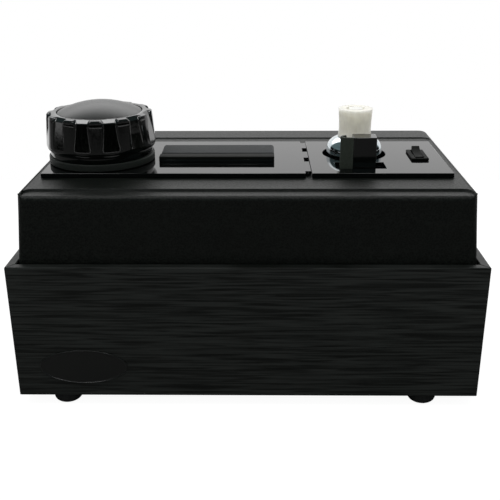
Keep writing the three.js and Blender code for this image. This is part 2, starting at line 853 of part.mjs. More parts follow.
function tankLid() {
  const low = tankTop + film;
  const plate = roundedSlab(tankLeft, tankRight, tankFront, tankBack, tank.corner, low, lidTop);
  const spigot = rodOf(duct.spigot, lidTop - lid.thickness / 2, lidTop + lid.spigotHeight);
  const inner = duct.spigot - lid.spigotWall;
  const bore = rodOf(inner, low - overrun, lidTop + lid.spigotHeight + overrun);
  const fanHole = rodOf(lid.fanHole, low - overrun, lidTop + overrun, medium);
  const geometry = carve(
    plate,
    [spigot.translate(headX, slitY, 0)],
    [bore.translate(headX, slitY, 0), fanHole.translate(vacuumX, vacuumY, 0)],
  );
  return piece('tank_lid', geometry, whitePlastic);
}

function drainTube() {
  const start = tankBack - drain.inside;
  const end = cabinet.depth / 2 - drain.stop;
  const tube = alongY(washerOf(drain.bore, drain.radius, start, end, coarse));
  return piece('drain_tube', tube.translate(drainX, 0, drainZ), mattPlastic);
}

function drainPlug() {
  const face = cabinet.depth / 2 - drain.stop + seat;
  const outer = cabinet.depth / 2 - plug.set;
  const radius = drain.bore - plug.fit;
  const headTop = outer - plug.grip;
  const body = alongY(turned([
    [0, face - plug.depth],
    [radius, face - plug.depth],
    [radius, face],
    [plug.head, face],
    [plug.head, headTop],
    [0, headTop],
  ], coarse));
  const half = plug.gripWidth / 2;
  const reach = plug.head * plug.gripShare;
  const grip = block(-reach, reach, headTop - plug.gripRoot, outer, -half, half);
  return piece('drain_plug', carve(body, [grip], []).translate(drainX, 0, drainZ), rubber);
}

// Vacuum unit, with its origin on the tank's lid under the motor
function fanBasePlate() {
  const geometry = washerOf(fanBase.inlet, fanHousing.radius, film, film + fanBase.thickness, fine);
  return piece('fan_base', geometry, mattPlastic);
}

function fanHousingShell() {
  const inner = fanHousing.radius - fanHousing.wall;
  const ceiling = housingTop - fanHousing.wall;
  const backFace = innerY - vacuumY - film;
  const halfWidth = port.width / 2;
  const low = housingBottom + port.rise;
  const root = inner * port.rootShare;
  const outerPort = block(-halfWidth, halfWidth, root, backFace, low, low + port.height);
  const innerPort = block(
    -halfWidth + port.wall, halfWidth - port.wall, root, backFace + overrun,
    low + port.wall, low + port.height - port.wall,
  );
  const geometry = carve(
    rodOf(fanHousing.radius, housingBottom, housingTop, fine),
    [outerPort],
    [
      rodOf(inner, housingBottom - overrun, ceiling, fine),
      innerPort,
      rodOf(fanHousing.shaftHole, ceiling - overrun, housingTop + overrun),
    ],
  );
  return piece('fan_housing', geometry, mattPlastic);
}

function fanBlade(index) {
  const steps = fan.bladeSteps;
  const inner = fan.hub - fan.blade;
  const leading = [];
  const trailing = [];
  for (let i = 0; i <= steps; i += 1) {
    const radius = inner + ((fan.radius - inner) * i) / steps;
    const bend = fan.sweepRadians * (i / steps) ** 2;
    const angle = (index * 2 * Math.PI) / fan.bladeCount - bend;
    const half = fan.blade / 2 / radius;
    leading.push([radius * Math.cos(angle - half), radius * Math.sin(angle - half)]);
    trailing.unshift([radius * Math.cos(angle + half), radius * Math.sin(angle + half)]);
  }
  const low = housingBottom + fan.clear;
  return slab(outline([...leading, ...trailing]), low, low + fan.height);
}

function vacuumFan() {
  const low = housingBottom + fan.clear;
  const top = low + fan.height;
  const disc = rodOf(fan.radius, top - fan.disc, top, fine);
  const blades = Array.from({ length: fan.bladeCount }, (_, index) => fanBlade(index));
  const bore = rodOf(vacuumShaft.radius + vacuumShaft.fit, low - overrun, top + overrun);
  const geometry = carve(disc, [rodOf(fan.hub, low, top), ...blades], [bore]);
  return piece('vacuum_fan', geometry, steel);
}

function vacuumShaftRod() {
  const low = housingBottom + fan.clear - vacuumShaft.below;
  return piece('vacuum_shaft', rodOf(vacuumShaft.radius, low, motorTop + vacuumShaft.above), steel);
}

function vacuumMotorBody() {
  const bore = vacuumShaft.radius + vacuumShaft.fit;
  const low = housingTop + film;
  const canTop = low + vacuumMotor.can;
  const neckTop = canTop + vacuumMotor.neck;
  const profile = [
    [bore, low],
    [vacuumMotor.radius, low],
    [vacuumMotor.radius, canTop],
    [vacuumMotor.shoulder, neckTop],
    [vacuumMotor.boss, neckTop],
    [vacuumMotor.boss, motorTop],
    [bore, motorTop],
    [bore, low],
  ];
  return piece('vacuum_motor', turned(profile), steel);
}

function buildVacuumUnit() {
  const pieces = [
    fanBasePlate(), fanHousingShell(), vacuumFan(), vacuumShaftRod(), vacuumMotorBody(),
  ];
  return assembly(vacuumX, vacuumY, lidTop, pieces);
}

function exhaustGrille() {
  const halfWidth = grille.width / 2 - seat;
  const halfHeight = grille.height / 2 - seat;
  const front = cabinet.depth / 2 - grille.depth;
  const plate = block(-halfWidth, halfWidth, front, cabinet.depth / 2, -halfHeight, halfHeight);
  const span = 2 * (halfWidth - grille.border);
  const pitch = span / grille.slots;
  const slots = Array.from({ length: grille.slots }, (_, i) => {
    const centre = -span / 2 + pitch * (i + 0.5);
    return block(
      centre - grille.slot / 2, centre + grille.slot / 2, front - overrun, cabinet.depth / 2 + overrun,
      -halfHeight + grille.border, halfHeight - grille.border,
    );
  });
  const z = lidTop + housingBottom + port.rise + port.height / 2;
  return piece('exhaust_grille', carve(plate, [], slots).translate(vacuumX, 0, z), mattPlastic);
}

// Mains inlet, behind its window in the back panel
function mainsInlet() {
  const face = innerY - film;
  const halfWidth = inlet.width / 2;
  const halfHeight = inlet.height / 2;
  const floor = face - inlet.cavityDepth;
  const flange = block(
    -halfWidth - inlet.flange, halfWidth + inlet.flange, face - inlet.flangeThickness, face,
    -halfHeight - inlet.flange / 2, halfHeight + inlet.flange / 2,
  );
  const body = block(-halfWidth, halfWidth, face - inlet.depth, face, -halfHeight, halfHeight);
  const cavity = block(
    -halfWidth + inlet.cavityWall, halfWidth - inlet.cavityWall, floor, face + overrun,
    -halfHeight + inlet.cavityWall, halfHeight - inlet.cavityWall,
  );
  const pin = (x, z) => block(
    x - inlet.pinWidth / 2, x + inlet.pinWidth / 2, floor - inlet.cavityWall, floor + inlet.pinLength,
    z - inlet.pinHeight / 2, z + inlet.pinHeight / 2,
  );
  const shell = carve(flange, [body], [cavity]);
  const drop = inlet.pinDrop / 2;
  const pins = [pin(-inlet.pinStep, -drop), pin(0, drop), pin(inlet.pinStep, -drop)];
  return piece('mains_inlet', carve(shell, pins, []).translate(inletX, 0, inletZ), mattPlastic);
}

// Capstan, with its origin on the plate's top at the middle of the round hole
function capstanDome() {
  const bore = shaft.radius + shaft.fit;
  const low = -dome.cut + dome.centre;
  const start = Math.asin(-dome.cut / dome.halfHeight);
  const end = Math.acos(roller.base / dome.radius);
  const profile = [[bore, low - dome.bossLength], [dome.boss, low - dome.bossLength], [dome.boss, low]];
  for (let i = 0; i <= dome.rings; i += 1) {
    const angle = start + ((end - start) * i) / dome.rings;
    profile.push([dome.radius * Math.cos(angle), dome.centre + dome.halfHeight * Math.sin(angle)]);
  }
  profile.push([bore, domeTop], [bore, low - dome.bossLength]);
  return piece('capstan_dome', turned(profile, fine), brightMetal);
}

function capstanRoller() {
  const low = rollerBottom;
  const floor = roller.height - roller.pocketDepth;
  const profile = [
    [roller.bore, low],
    [roller.base, low],
    [(roller.base + roller.waist) / 2, low + roller.flare],
    [roller.waist, low + roller.waistLow],
    [roller.waist, low + roller.waistHigh],
    [(roller.waist + roller.top) / 2, (low + roller.waistHigh + roller.height) / 2],
    [roller.top, roller.height],
    [roller.pocket, roller.height],
    [roller.pocket, floor],
    [roller.bore, floor],
    [roller.bore, low],
  ];
  return piece('capstan_roller', turned(profile), cream);
}

function rollerNut() {
  const low = roller.height - roller.pocketDepth + film;
  const bore = rodOf(shaft.radius + shaft.fit, low - overrun, low + nut.bore);
  const hexagon = rodOf(nut.radius, low, low + nut.height, 6);
  return piece('roller_nut', carve(hexagon, [], [bore]), whitePlastic);
}

function capstanShaft() {
  const low = gearboxTop - shaft.engage;
  return piece('capstan_shaft', rodOf(shaft.radius, low, roller.height - shaft.tail), steel);
}

function carriageSlide() {
  const top = -carriage.drop;
  const plate = block(
    -carriage.halfWidth, carriage.halfWidth, -carriage.front, carriage.back, top - carriage.plate, top,
  );
  const sleeves = [-rod.spread, rod.spread].map((y) => block(
    sleeveLeft, sleeveRight, y - sleeve.halfWidth, y + sleeve.halfWidth,
    top - carriage.plate / 2, top + sleeve.height,
  ));
  const bores = [-rod.spread, rod.spread].map((y) => (
    alongX(rodOf(rod.radius + sleeve.fit, sleeveLeft - overrun, sleeveRight + overrun))
      .translate(0, y, -rodDrop)
  ));
  const shaftHole = rodOf(carriage.shaftHole, top - overrun, top + overrun);
  return piece('carriage', carve(plate, sleeves, [...bores, shaftHole]), steel);
}

function pullLever() {
  const { left, split, right, front, depth, wall, hook } = lever;
  const back = front - depth;
  const centreX = -left + hook;
  const centreY = -front + hook;
  const shape = new THREE.Shape();
  shape.moveTo(right, -front);
  shape.lineTo(right, -back);
  shape.lineTo(-split, -back);
  shape.lineTo(-split, -front + wall);
  shape.lineTo(centreX, -front + wall);
  shape.absarc(centreX, centreY, hook - wall, -Math.PI / 2, Math.PI / 2, true);
  shape.lineTo(centreX, centreY + hook);
  shape.absarc(centreX, centreY, hook, Math.PI / 2, -Math.PI / 2, false);
  shape.lineTo(right, -front);
  return piece('pull_lever', slab(shape, -carriage.drop + film, lever.rise, 6), mattPlastic);
}

function guideRod(name, side) {
  const x0 = -bracket.left - bracket.thickness - rod.overhang;
  const x1 = bracket.right + bracket.thickness + rod.overhang;
  const geometry = alongX(rodOf(rod.radius, x0, x1));
  return piece(name, geometry.translate(0, side * rod.spread, -rodDrop), steel);
}

function rodBracket(name, inner, side) {
  const outer = inner + side * bracket.thickness;
  const tip = inner - side * bracket.ear;
  const top = -underPlate;
  const span = (a, b) => [Math.min(a, b), Math.max(a, b)];
  const low = -rodDrop - rod.radius - bracket.margin;
  const reach = Math.abs(outer) + overrun;
  const web = block(...span(inner, outer), -bracket.halfWidth, bracket.halfWidth, low, top);
  const ears = [-1, 1].map((end) => block(
    ...span(tip, (inner + outer) / 2),
    ...span(end * (bracket.halfWidth - bracket.earWidth), end * bracket.halfWidth),
    top - bracket.earHeight, top,
  ));
  const holes = [-rod.spread, rod.spread].map((y) => (
    alongX(rodOf(rod.radius + film, -reach, reach)).translate(0, y, -rodDrop)
  ));
  return piece(name, carve(web, ears, holes), steel);
}

function returnSpring() {
  const x0 = sleeveRight + spring.gap + spring.wire;
  const x1 = bracket.right - spring.gap - spring.wire;
  const count = spring.turns * spring.steps;
  const slope = (x1 - x0) / (spring.turns * 2 * Math.PI * spring.radius);
  const lean = Math.atan(slope);
  const rings = [];
  for (let i = 0; i <= count; i += 1) {
    const angle = (2 * Math.PI * i) / spring.steps;
    const x = x0 + ((x1 - x0) * i) / count;
    const ring = [];
    for (let k = 0; k < spring.sides; k += 1) {
      const turn = (-2 * Math.PI * k) / spring.sides;
      const radial = spring.radius + spring.wire * Math.cos(turn);
      const along = spring.wire * Math.sin(turn);
      const swing = angle - (along * Math.sin(lean)) / radial;
      ring.push([
        x + along * Math.cos(lean),
        rod.spread + radial * Math.cos(swing),
        -rodDrop + radial * Math.sin(swing),
      ]);
    }
    rings.push(ring);
  }
  return piece('return_spring', loft(rings), steel);
}

function driveGearbox() {
  const bore = shaft.radius + shaft.fit;
  const low = gearboxTop - gearbox.height;
  const floor = gearboxTop - shaft.engage - seat;
  const profile = [
    [0, low],
    [gearbox.radius, low],
    [gearbox.radius, gearboxTop],
    [bore, gearboxTop],
    [bore, floor],
    [0, floor],
  ];
  return piece('drive_gearbox', turned(profile), steel);
}

function driveMotorBody() {
  const low = driveMotorTop - driveMotor.height;
  const { radius, edge, stub, stubHeight } = driveMotor;
  const profile = [
    [0, low - stubHeight],
    [stub, low - stubHeight],
    [stub, low],
    [radius - edge, low],
    [radius, low + edge],
    [radius, driveMotorTop],
    [0, driveMotorTop],
  ];
  return piece('drive_motor', turned(profile), steel);
}

function buildCapstan() {
  const pieces = [
    capstanDome(), capstanRoller(), rollerNut(), capstanShaft(), carriageSlide(), pullLever(),
    guideRod('guide_rod_front', -1), guideRod('guide_rod_rear', 1),
    rodBracket('rod_bracket_left', -bracket.left, -1), rodBracket('rod_bracket_right', bracket.right, 1),
    returnSpring(), driveGearbox(), driveMotorBody(),
  ];
  return assembly(capstanX, capstanY, plateTop, pieces);
}

// Rocker switch, with its origin on the plate's top
function switchBody() {
  const bezel = block(
    -toggle.halfWidth, toggle.halfWidth, -toggle.halfLength, toggle.halfLength, film, toggle.bezel,
  );
  const body = block(
    -toggle.bodyHalfWidth, toggle.bodyHalfWidth, -toggle.bodyHalfLength, toggle.bodyHalfLength,
    -toggle.bodyDepth, toggle.bezel / 2,
  );
  const half = rocker.halfWidth + rocker.sideFit;
  const cavity = alongX(rodOf(rocker.sweep, -half, half, fine)).translate(0, 0, rocker.pivot);
  return piece('switch_body', carve(bezel, [body], [cavity]), glossPlastic);
}

function rockerKey() {
  const { halfLength, endRise, midRise, footHalf, footDrop, halfWidth } = rocker;
  const section = outline([
    [-footHalf, -footDrop],
    [footHalf, -footDrop],
    [halfLength, endRise],
    [0, midRise],
    [-halfLength, endRise],
  ]);
  const mesh = piece('rocker', barAlongX(section, -halfWidth, halfWidth), glossPlastic);
  mesh.position.z = rocker.pivot;
  mesh.rotation.x = THREE.MathUtils.degToRad(rocker.tiltDegrees);
  return mesh;
}

// Leads that the cabinet holds all the way
function leadAlong(name, points) {
  const path = new THREE.CatmullRomCurve3(points.map(([x, y, z]) => new THREE.Vector3(x, y, z)));
  const shape = new THREE.Shape();
  shape.absarc(0, 0, lead.radius, 0, Math.PI * 2, false);
  const options = {
    steps: lead.steps, bevelEnabled: false, extrudePath: path, curveSegments: lead.arcSteps,
  };
  return piece(name, new THREE.ExtrudeGeometry(shape, options), rubber);
}

function buildLeads() {
  const under = toggleBottom - seat;
  const sag = 4 * lead.radius;
  const pitch = toggle.bodyHalfLength / 2;
  const motorSide = vacuumX + vacuumMotor.radius + seat;
  const motorZ = lidTop + housingTop + vacuumMotor.can / 2;
  const inletBack = innerY - film - inlet.depth - seat;
  const driveSide = capstanX + driveMotor.radius + seat;
  const driveZ = plateTop + driveMotorTop - driveMotor.height / 2;
  const rightSide = innerX - cleat.width - 4 * lead.radius;
  return [
    leadAlong('inlet_lead', [
      [inletX, inletBack, inletZ],
      [inletX, inletBack - sag, inletZ],
      [rightSide, inletBack / 2, (inletZ + under) / 2],
      [rightSide, toggleY, under - 4 * sag],
      [toggleX, toggleY, under - 2 * sag],
      [toggleX, toggleY, under],
    ]),
    leadAlong('vacuum_lead', [
      [toggleX, toggleY + pitch, under],
      [toggleX, toggleY + pitch, under - sag],
      [capstanX + gearbox.radius + sag, capstanY + gearbox.radius, under - 3 * sag],
      [capstanX, capstanY + 2 * gearbox.radius, motorZ],
      [0, vacuumY + 2 * sag, motorZ],
      [motorSide + 2 * sag, vacuumY, motorZ],
      [motorSide, vacuumY, motorZ],
    ]),
    leadAlong('drive_lead', [
      [toggleX, toggleY - pitch, under],
      [toggleX, toggleY - pitch, under - 2 * sag],
      [driveSide + sag, capstanY, driveZ],
      [driveSide, capstanY, driveZ],
    ]),
  ];
}

const model = new THREE.Group();
model.add(
  ...buildCabinet(),
  buildHood(),
  leftPlate(),
  rightPlate(),
  buildHub(),
  buildSuctionHead(),
  suctionHose(),
  wasteTank(),
  tankLid(),
  drainTube(),
  drainPlug(),
  buildVacuumUnit(),
  exhaustGrille(),
  mainsInlet(),
  buildCapstan(),
  assembly(toggleX, toggleY, plateTop, [switchBody(), rockerKey()]),
  ...buildLeads(),
);
model.updateMatrixWorld(true);

export default model;
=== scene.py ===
"""Visual model of a record cleaning machine: wood-grain cabinet, pebbled hood, gloss deck.

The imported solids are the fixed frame. Lengths below are in millimetres unless a name says
otherwise, and every mesh is made in metres, with its place in its own vertices.
"""

import json
import logging
from collections.abc import Callable
from dataclasses import dataclass, field, replace
from enum import Enum

import bmesh
import bpy
import numpy as np
from mathutils import Matrix, Vector


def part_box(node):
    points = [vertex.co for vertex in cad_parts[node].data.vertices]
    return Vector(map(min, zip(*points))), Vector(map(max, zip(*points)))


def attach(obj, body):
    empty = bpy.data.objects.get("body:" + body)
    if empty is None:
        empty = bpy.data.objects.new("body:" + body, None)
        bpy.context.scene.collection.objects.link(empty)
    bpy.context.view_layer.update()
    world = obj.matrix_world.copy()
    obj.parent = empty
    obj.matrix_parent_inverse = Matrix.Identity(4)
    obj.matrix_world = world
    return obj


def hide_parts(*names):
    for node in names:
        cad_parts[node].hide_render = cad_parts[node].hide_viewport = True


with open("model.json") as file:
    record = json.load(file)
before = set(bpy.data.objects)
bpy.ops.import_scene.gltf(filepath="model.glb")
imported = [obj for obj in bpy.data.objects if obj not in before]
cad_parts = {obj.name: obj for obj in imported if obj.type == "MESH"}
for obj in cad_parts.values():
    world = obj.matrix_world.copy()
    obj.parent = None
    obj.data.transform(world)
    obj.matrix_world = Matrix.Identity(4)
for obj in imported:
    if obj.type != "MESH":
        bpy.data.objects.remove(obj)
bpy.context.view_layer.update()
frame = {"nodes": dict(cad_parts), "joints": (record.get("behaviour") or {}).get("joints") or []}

LOG = logging.getLogger("record_cleaner")
Array = np.ndarray
Thing = bpy.types.Object
Tree = bpy.types.NodeTree
Socket = bpy.types.NodeSocket
Level = tuple[float, float, float]
Span = tuple[float, float]

MM = 0.001
WELD = 2e-6
FLAT_DEGREES = 0.5
SHARP_DEGREES = 32.0


# Shapes from arrays
def box_of(node: str) -> tuple[Array, Array]:
    """Gives a solid's lowest and highest corner in millimetres.

    Args:
        node: name of the solid.

    Returns:
        The two corners as arrays of three numbers.
    """
    low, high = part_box(node)
    return np.array(low) / MM, np.array(high) / MM


def turned_sizes(node: str, centre: Array) -> tuple[float, float, float]:
    """Gives a turned solid's radius, and its lowest and highest height over its centre."""
    low, high = box_of(node)
    return (high[0] - low[0]) / 2.0, low[2] - centre[2], high[2] - centre[2]


def middle_on(node: str, plate: str) -> Array:
    """Gives a solid's upright axis as a place at the height of a plate's top."""
    low, high = box_of(node)
    return np.array([(low[0] + high[0]) / 2.0, (low[1] + high[1]) / 2.0, box_of(plate)[1][2]])


def smooth_step(value: Array) -> Array:
    """Rises from 0 to 1 as 3t^2 - 2t^3, and is flat outside that span."""
    share = np.clip(value, 0.0, 1.0)
    return share * share * (3.0 - 2.0 * share)


def fillet(corners: list[tuple[float, float, float]], closed: bool, steps: int = 6) -> Array:
    """Rounds the corners of a path in a plane.

    Each corner is replaced by an arc that touches both of its sides. Its centre lies on the
    corner's bisector, at the radius over the sine of half the corner's angle.

    Args:
        corners: places and the radius at each, which may be zero.
        closed: True if the path runs on from its last corner to its first.
        steps: spans in each arc.

    Returns:
        An array of points, two numbers each.
    """
    places = np.array([corner[:2] for corner in corners], float)
    count = len(places)
    pieces = []
    for index, (place, corner) in enumerate(zip(places, corners)):
        radius = corner[2]
        at_end = not closed and index in (0, count - 1)
        if radius <= 0.0 or at_end:
            pieces.append(place[None, :])
            continue
        before = places[index - 1] - place
        after = places[(index + 1) % count] - place
        before /= np.linalg.norm(before)
        after /= np.linalg.norm(after)
        half = np.arccos(np.clip(before @ after, -1.0, 1.0)) / 2.0
        bisector = before + after
        centre = place + bisector / np.linalg.norm(bisector) * radius / np.sin(half)
        reach = radius / np.tan(half)
        first = place + before * reach - centre
        last = place + after * reach - centre
        start = np.arctan2(first[1], first[0])
        sweep = (np.arctan2(last[1], last[0]) - start + np.pi) % (2.0 * np.pi) - np.pi
        angles = start + sweep * np.linspace(0.0, 1.0, steps + 1)
        pieces.append(centre + radius * np.stack([np.cos(angles), np.sin(angles)], 1))
    return np.concatenate(pieces)


def grid_quads(rows: int, columns: int, wrap_rows: bool, wrap_columns: bool) -> Array:
    """Numbers the four corners of each cell of a grid of points.

    Args:
        rows: rows of points.
        columns: points in a row.
        wrap_rows: True if the last row joins the first.
        wrap_columns: True if each row closes on itself.

    Returns:
        An array of cells, four vertex numbers each.
    """
    row = np.arange(rows if wrap_rows else rows - 1)
    column = np.arange(columns if wrap_columns else columns - 1)
    row, column = np.meshgrid(row, column, indexing="ij")
    next_row = (row + 1) % rows
    next_column = (column + 1) % columns
    corners = [
        row * columns + column,
        row * columns + next_column,
        next_row * columns + next_column,
        next_row * columns + column,
    ]
    return np.stack(corners, -1).reshape(-1, 4)


def mesh_object(name: str, points: Array, faces: list, outward: bool = True) -> Thing:
    """Makes a mesh object from points in millimetres, with seams and poles closed.

    Args:
        name: the new object's name.
        points: array whose last axis holds x, y and z.
        faces: vertex numbers of each face.
        outward: True if the faces are turned to point out of a closed surface.

    Returns:
        The object, at the origin.
    """
    mesh = bpy.data.meshes.new(name)
    mesh.from_pydata((points.reshape(-1, 3) * MM).tolist(), [], faces)
    shell = bmesh.new()
    shell.from_mesh(mesh)
    bmesh.ops.remove_doubles(shell, verts=shell.verts, dist=WELD)
    if outward:
        bmesh.ops.recalc_face_normals(shell, faces=shell.faces)
    shell.to_mesh(mesh)
    shell.free()
    piece = bpy.data.objects.new(name, mesh)
    bpy.context.scene.collection.objects.link(piece)
    return piece


def grid_object(
    name: str, points: Array, wrap_rows: bool = False, wrap_columns: bool = True
) -> Thing:
    """Makes a closed surface from a grid of points.

    Args:
        name: the new object's name.
        points: array of rows, columns and x, y, z in millimetres.
        wrap_rows: True if the last row joins the first.
        wrap_columns: True if each row closes on itself.

    Returns:
        The object, at the origin.
    """
    rows, columns = points.shape[:2]
    quads = grid_quads(rows, columns, wrap_rows, wrap_columns)
    return mesh_object(name, points, quads.tolist())


def revolve(
    name: str, profile: Array, centre: Array, steps: int = 96, closed: bool = False
) -> Thing:
    """Turns a profile about an upright axis.

    A point at radius r and height h goes to the centre plus (r cos a, r sin a, h), for each of
    the evenly spaced angles a.

    Args:
        name: the new object's name.
        profile: radius and height of each point. An open profile starts and ends on the axis.
        centre: the place of radius 0 and height 0.
        steps: columns round the axis.
        closed: True if the profile closes on itself, as for a ring.

    Returns:
        The object, at the origin.
    """
    angle = np.linspace(0.0, 2.0 * np.pi, steps, endpoint=False)[None, :]
    radius = profile[:, :1]
    height = np.broadcast_to(profile[:, 1:], (len(profile), steps))
    points = np.stack([radius * np.cos(angle), radius * np.sin(angle), height], -1)
    return grid_object(name, points + centre, wrap_rows=closed)


def prism(name: str, outline: Array, place: Callable[[Array, float], Array],
          low: float, high: float) -> Thing:
    """Draws a flat outline out into a closed bar with a face at each end.

    Args:
        name: the new object's name.
        outline: the outline's points, two numbers each.
        place: gives the x, y and z of outline points at a distance along the bar.
        low: where the bar starts.
        high: where the bar ends.

    Returns:
        The object, at the origin.
    """
    count = len(outline)
    points = np.stack([place(outline, low), place(outline, high)])
    faces = grid_quads(2, count, False, True).tolist()
    faces += [list(range(count))[::-1], list(range(count, 2 * count))]
    return mesh_object(name, points, faces)


def upright(outline: Array, height: float) -> Array:
    """Puts an outline in X and Y at a height."""
    return np.column_stack([outline, np.full(len(outline), height)])


def crosswise(outline: Array, distance: float) -> Array:
    """Puts an outline in Y and Z at a distance along X."""
    return np.column_stack([np.full(len(outline), distance), outline])


class Edges(Enum):
    """Which edges of a copied solid are eased."""

    ALL = "all"
    LEVEL = "level"


def eased_copy(
    node: str, width: float, edges: Edges = Edges.ALL, segments: int = 3
) -> Thing:
    """Copies a solid, merges its flat faces and eases its edges with a bevel.

    Args:
        node: name of the solid.
        width: the easing's width in millimetres.
        edges: ALL for each sharp edge, LEVEL for those that run level.
        segments: spans across the easing.

    Returns:
        The copy, at the origin.
    """
    source = frame["nodes"][node]
    mesh = source.data.copy()
    mesh.name = f"{node}_eased"
    mesh.materials.clear()
    shell = bmesh.new()
    shell.from_mesh(mesh)
    bmesh.ops.remove_doubles(shell, verts=shell.verts, dist=WELD)
    flat = np.radians(FLAT_DEGREES)
    bmesh.ops.dissolve_limit(shell, angle_limit=flat, verts=shell.verts, edges=shell.edges)
    least = np.radians(SHARP_DEGREES)
    layer = shell.edges.layers.float.new("bevel_weight_edge")
    for edge in shell.edges:
        sharp = len(edge.link_faces) == 2 and edge.calc_face_angle() > least
        level = abs(edge.verts[0].co.z - edge.verts[1].co.z) < WELD
        edge[layer] = float(sharp and (level or edges is Edges.ALL))
    shell.to_mesh(mesh)
    shell.free()
    piece = bpy.data.objects.new(f"{node}_eased", mesh)
    bpy.context.scene.collection.objects.link(piece)
    add_bevel(piece, width, segments, by_weight=True)
    return piece


def add_bevel(piece: Thing, width: float, segments: int = 3, by_weight: bool = False) -> None:
    """Adds a Bevel modifier that eases a piece's sharp edges.

    Args:
        piece: the piece to ease.
        width: the easing's width in millimetres.
        segments: spans across the easing.
        by_weight: True if the edges are those that carry a bevel weight.
    """
    bevel = piece.modifiers.new("easing", "BEVEL")
    bevel.width = width * MM
    bevel.segments = segments
    bevel.limit_method = "WEIGHT" if by_weight else "ANGLE"
    bevel.angle_limit = np.radians(SHARP_DEGREES)
    bevel.harden_normals = False
    bevel.use_clamp_overlap = True


def linear(hex_colour: str) -> tuple[float, float, float, float]:
    """Turns an sRGB hex colour into linear red, green, blue and an alpha of 1."""
    srgb = np.array([int(hex_colour[start:start + 2], 16) for start in (1, 3, 5)]) / 255.0
    value = np.where(srgb <= 0.04045, srgb / 12.92, ((srgb + 0.055) / 1.055) ** 2.4)
    return (*value.tolist(), 1.0)


def add_node(
    tree: Tree, kind: str, inputs: dict | None = None, **settings: object
) -> bpy.types.Node:
    """Adds one shader node with its settings, values and links.

    Args:
        tree: the node tree.
        kind: Blender's name for the node.
        inputs: what goes into each socket, a value or another node's output.
        **settings: the node's own properties.

    Returns:
        The node.
    """
    node = tree.nodes.new(kind)
    for name, value in settings.items():
        setattr(node, name, value)
    for key, value in (inputs or {}).items():
        if isinstance(value, Socket):
            tree.links.new(value, node.inputs[key])
        else:
            node.inputs[key].default_value = value
    return node


def mix_colour(tree: Tree, share: Socket, first: object, second: object) -> Socket:
    """Mixes two colours or light levels.

    Args:
        tree: the node tree.
        share: how much of the second colour shows.
        first: a socket, or red, green and blue.
        second: a socket, or red, green and blue.

    Returns:
        The socket that gives the mixed colour.
    """
    mix = tree.nodes.new("ShaderNodeMix")
    mix.data_type = "RGBA"
    factor, first_socket, second_socket = mix.inputs[0], mix.inputs[6], mix.inputs[7]
    tree.links.new(share, factor)
    for socket, value in ((first_socket, first), (second_socket, second)):
        if isinstance(value, Socket):
            tree.links.new(value, socket)
        else:
            socket.default_value = (*value[:3], 1.0)
    return mix.outputs[2]


# Finishes
PEBBLE_SMOOTHNESS = 0.6
PEBBLE_SCATTER = 0.9
BROAD_DETAIL = 2.0
WORN_BEND = (0.52, 0.6)
WORN_GAIN = 3.0
WORN_LIFT = 0.02


class Pattern(Enum):
    """How a finish's small marks are drawn."""

    CLOUDS = "clouds"
    PEBBLES = "pebbles"


@dataclass(frozen=True)
class Marks:
    """Small marks of a surface, with their real size along X, Y and Z in millimetres."""

    size: tuple[float, float, float]
    pattern: Pattern = Pattern.CLOUDS
    detail: float = 3.0
    warp: float = 0.0


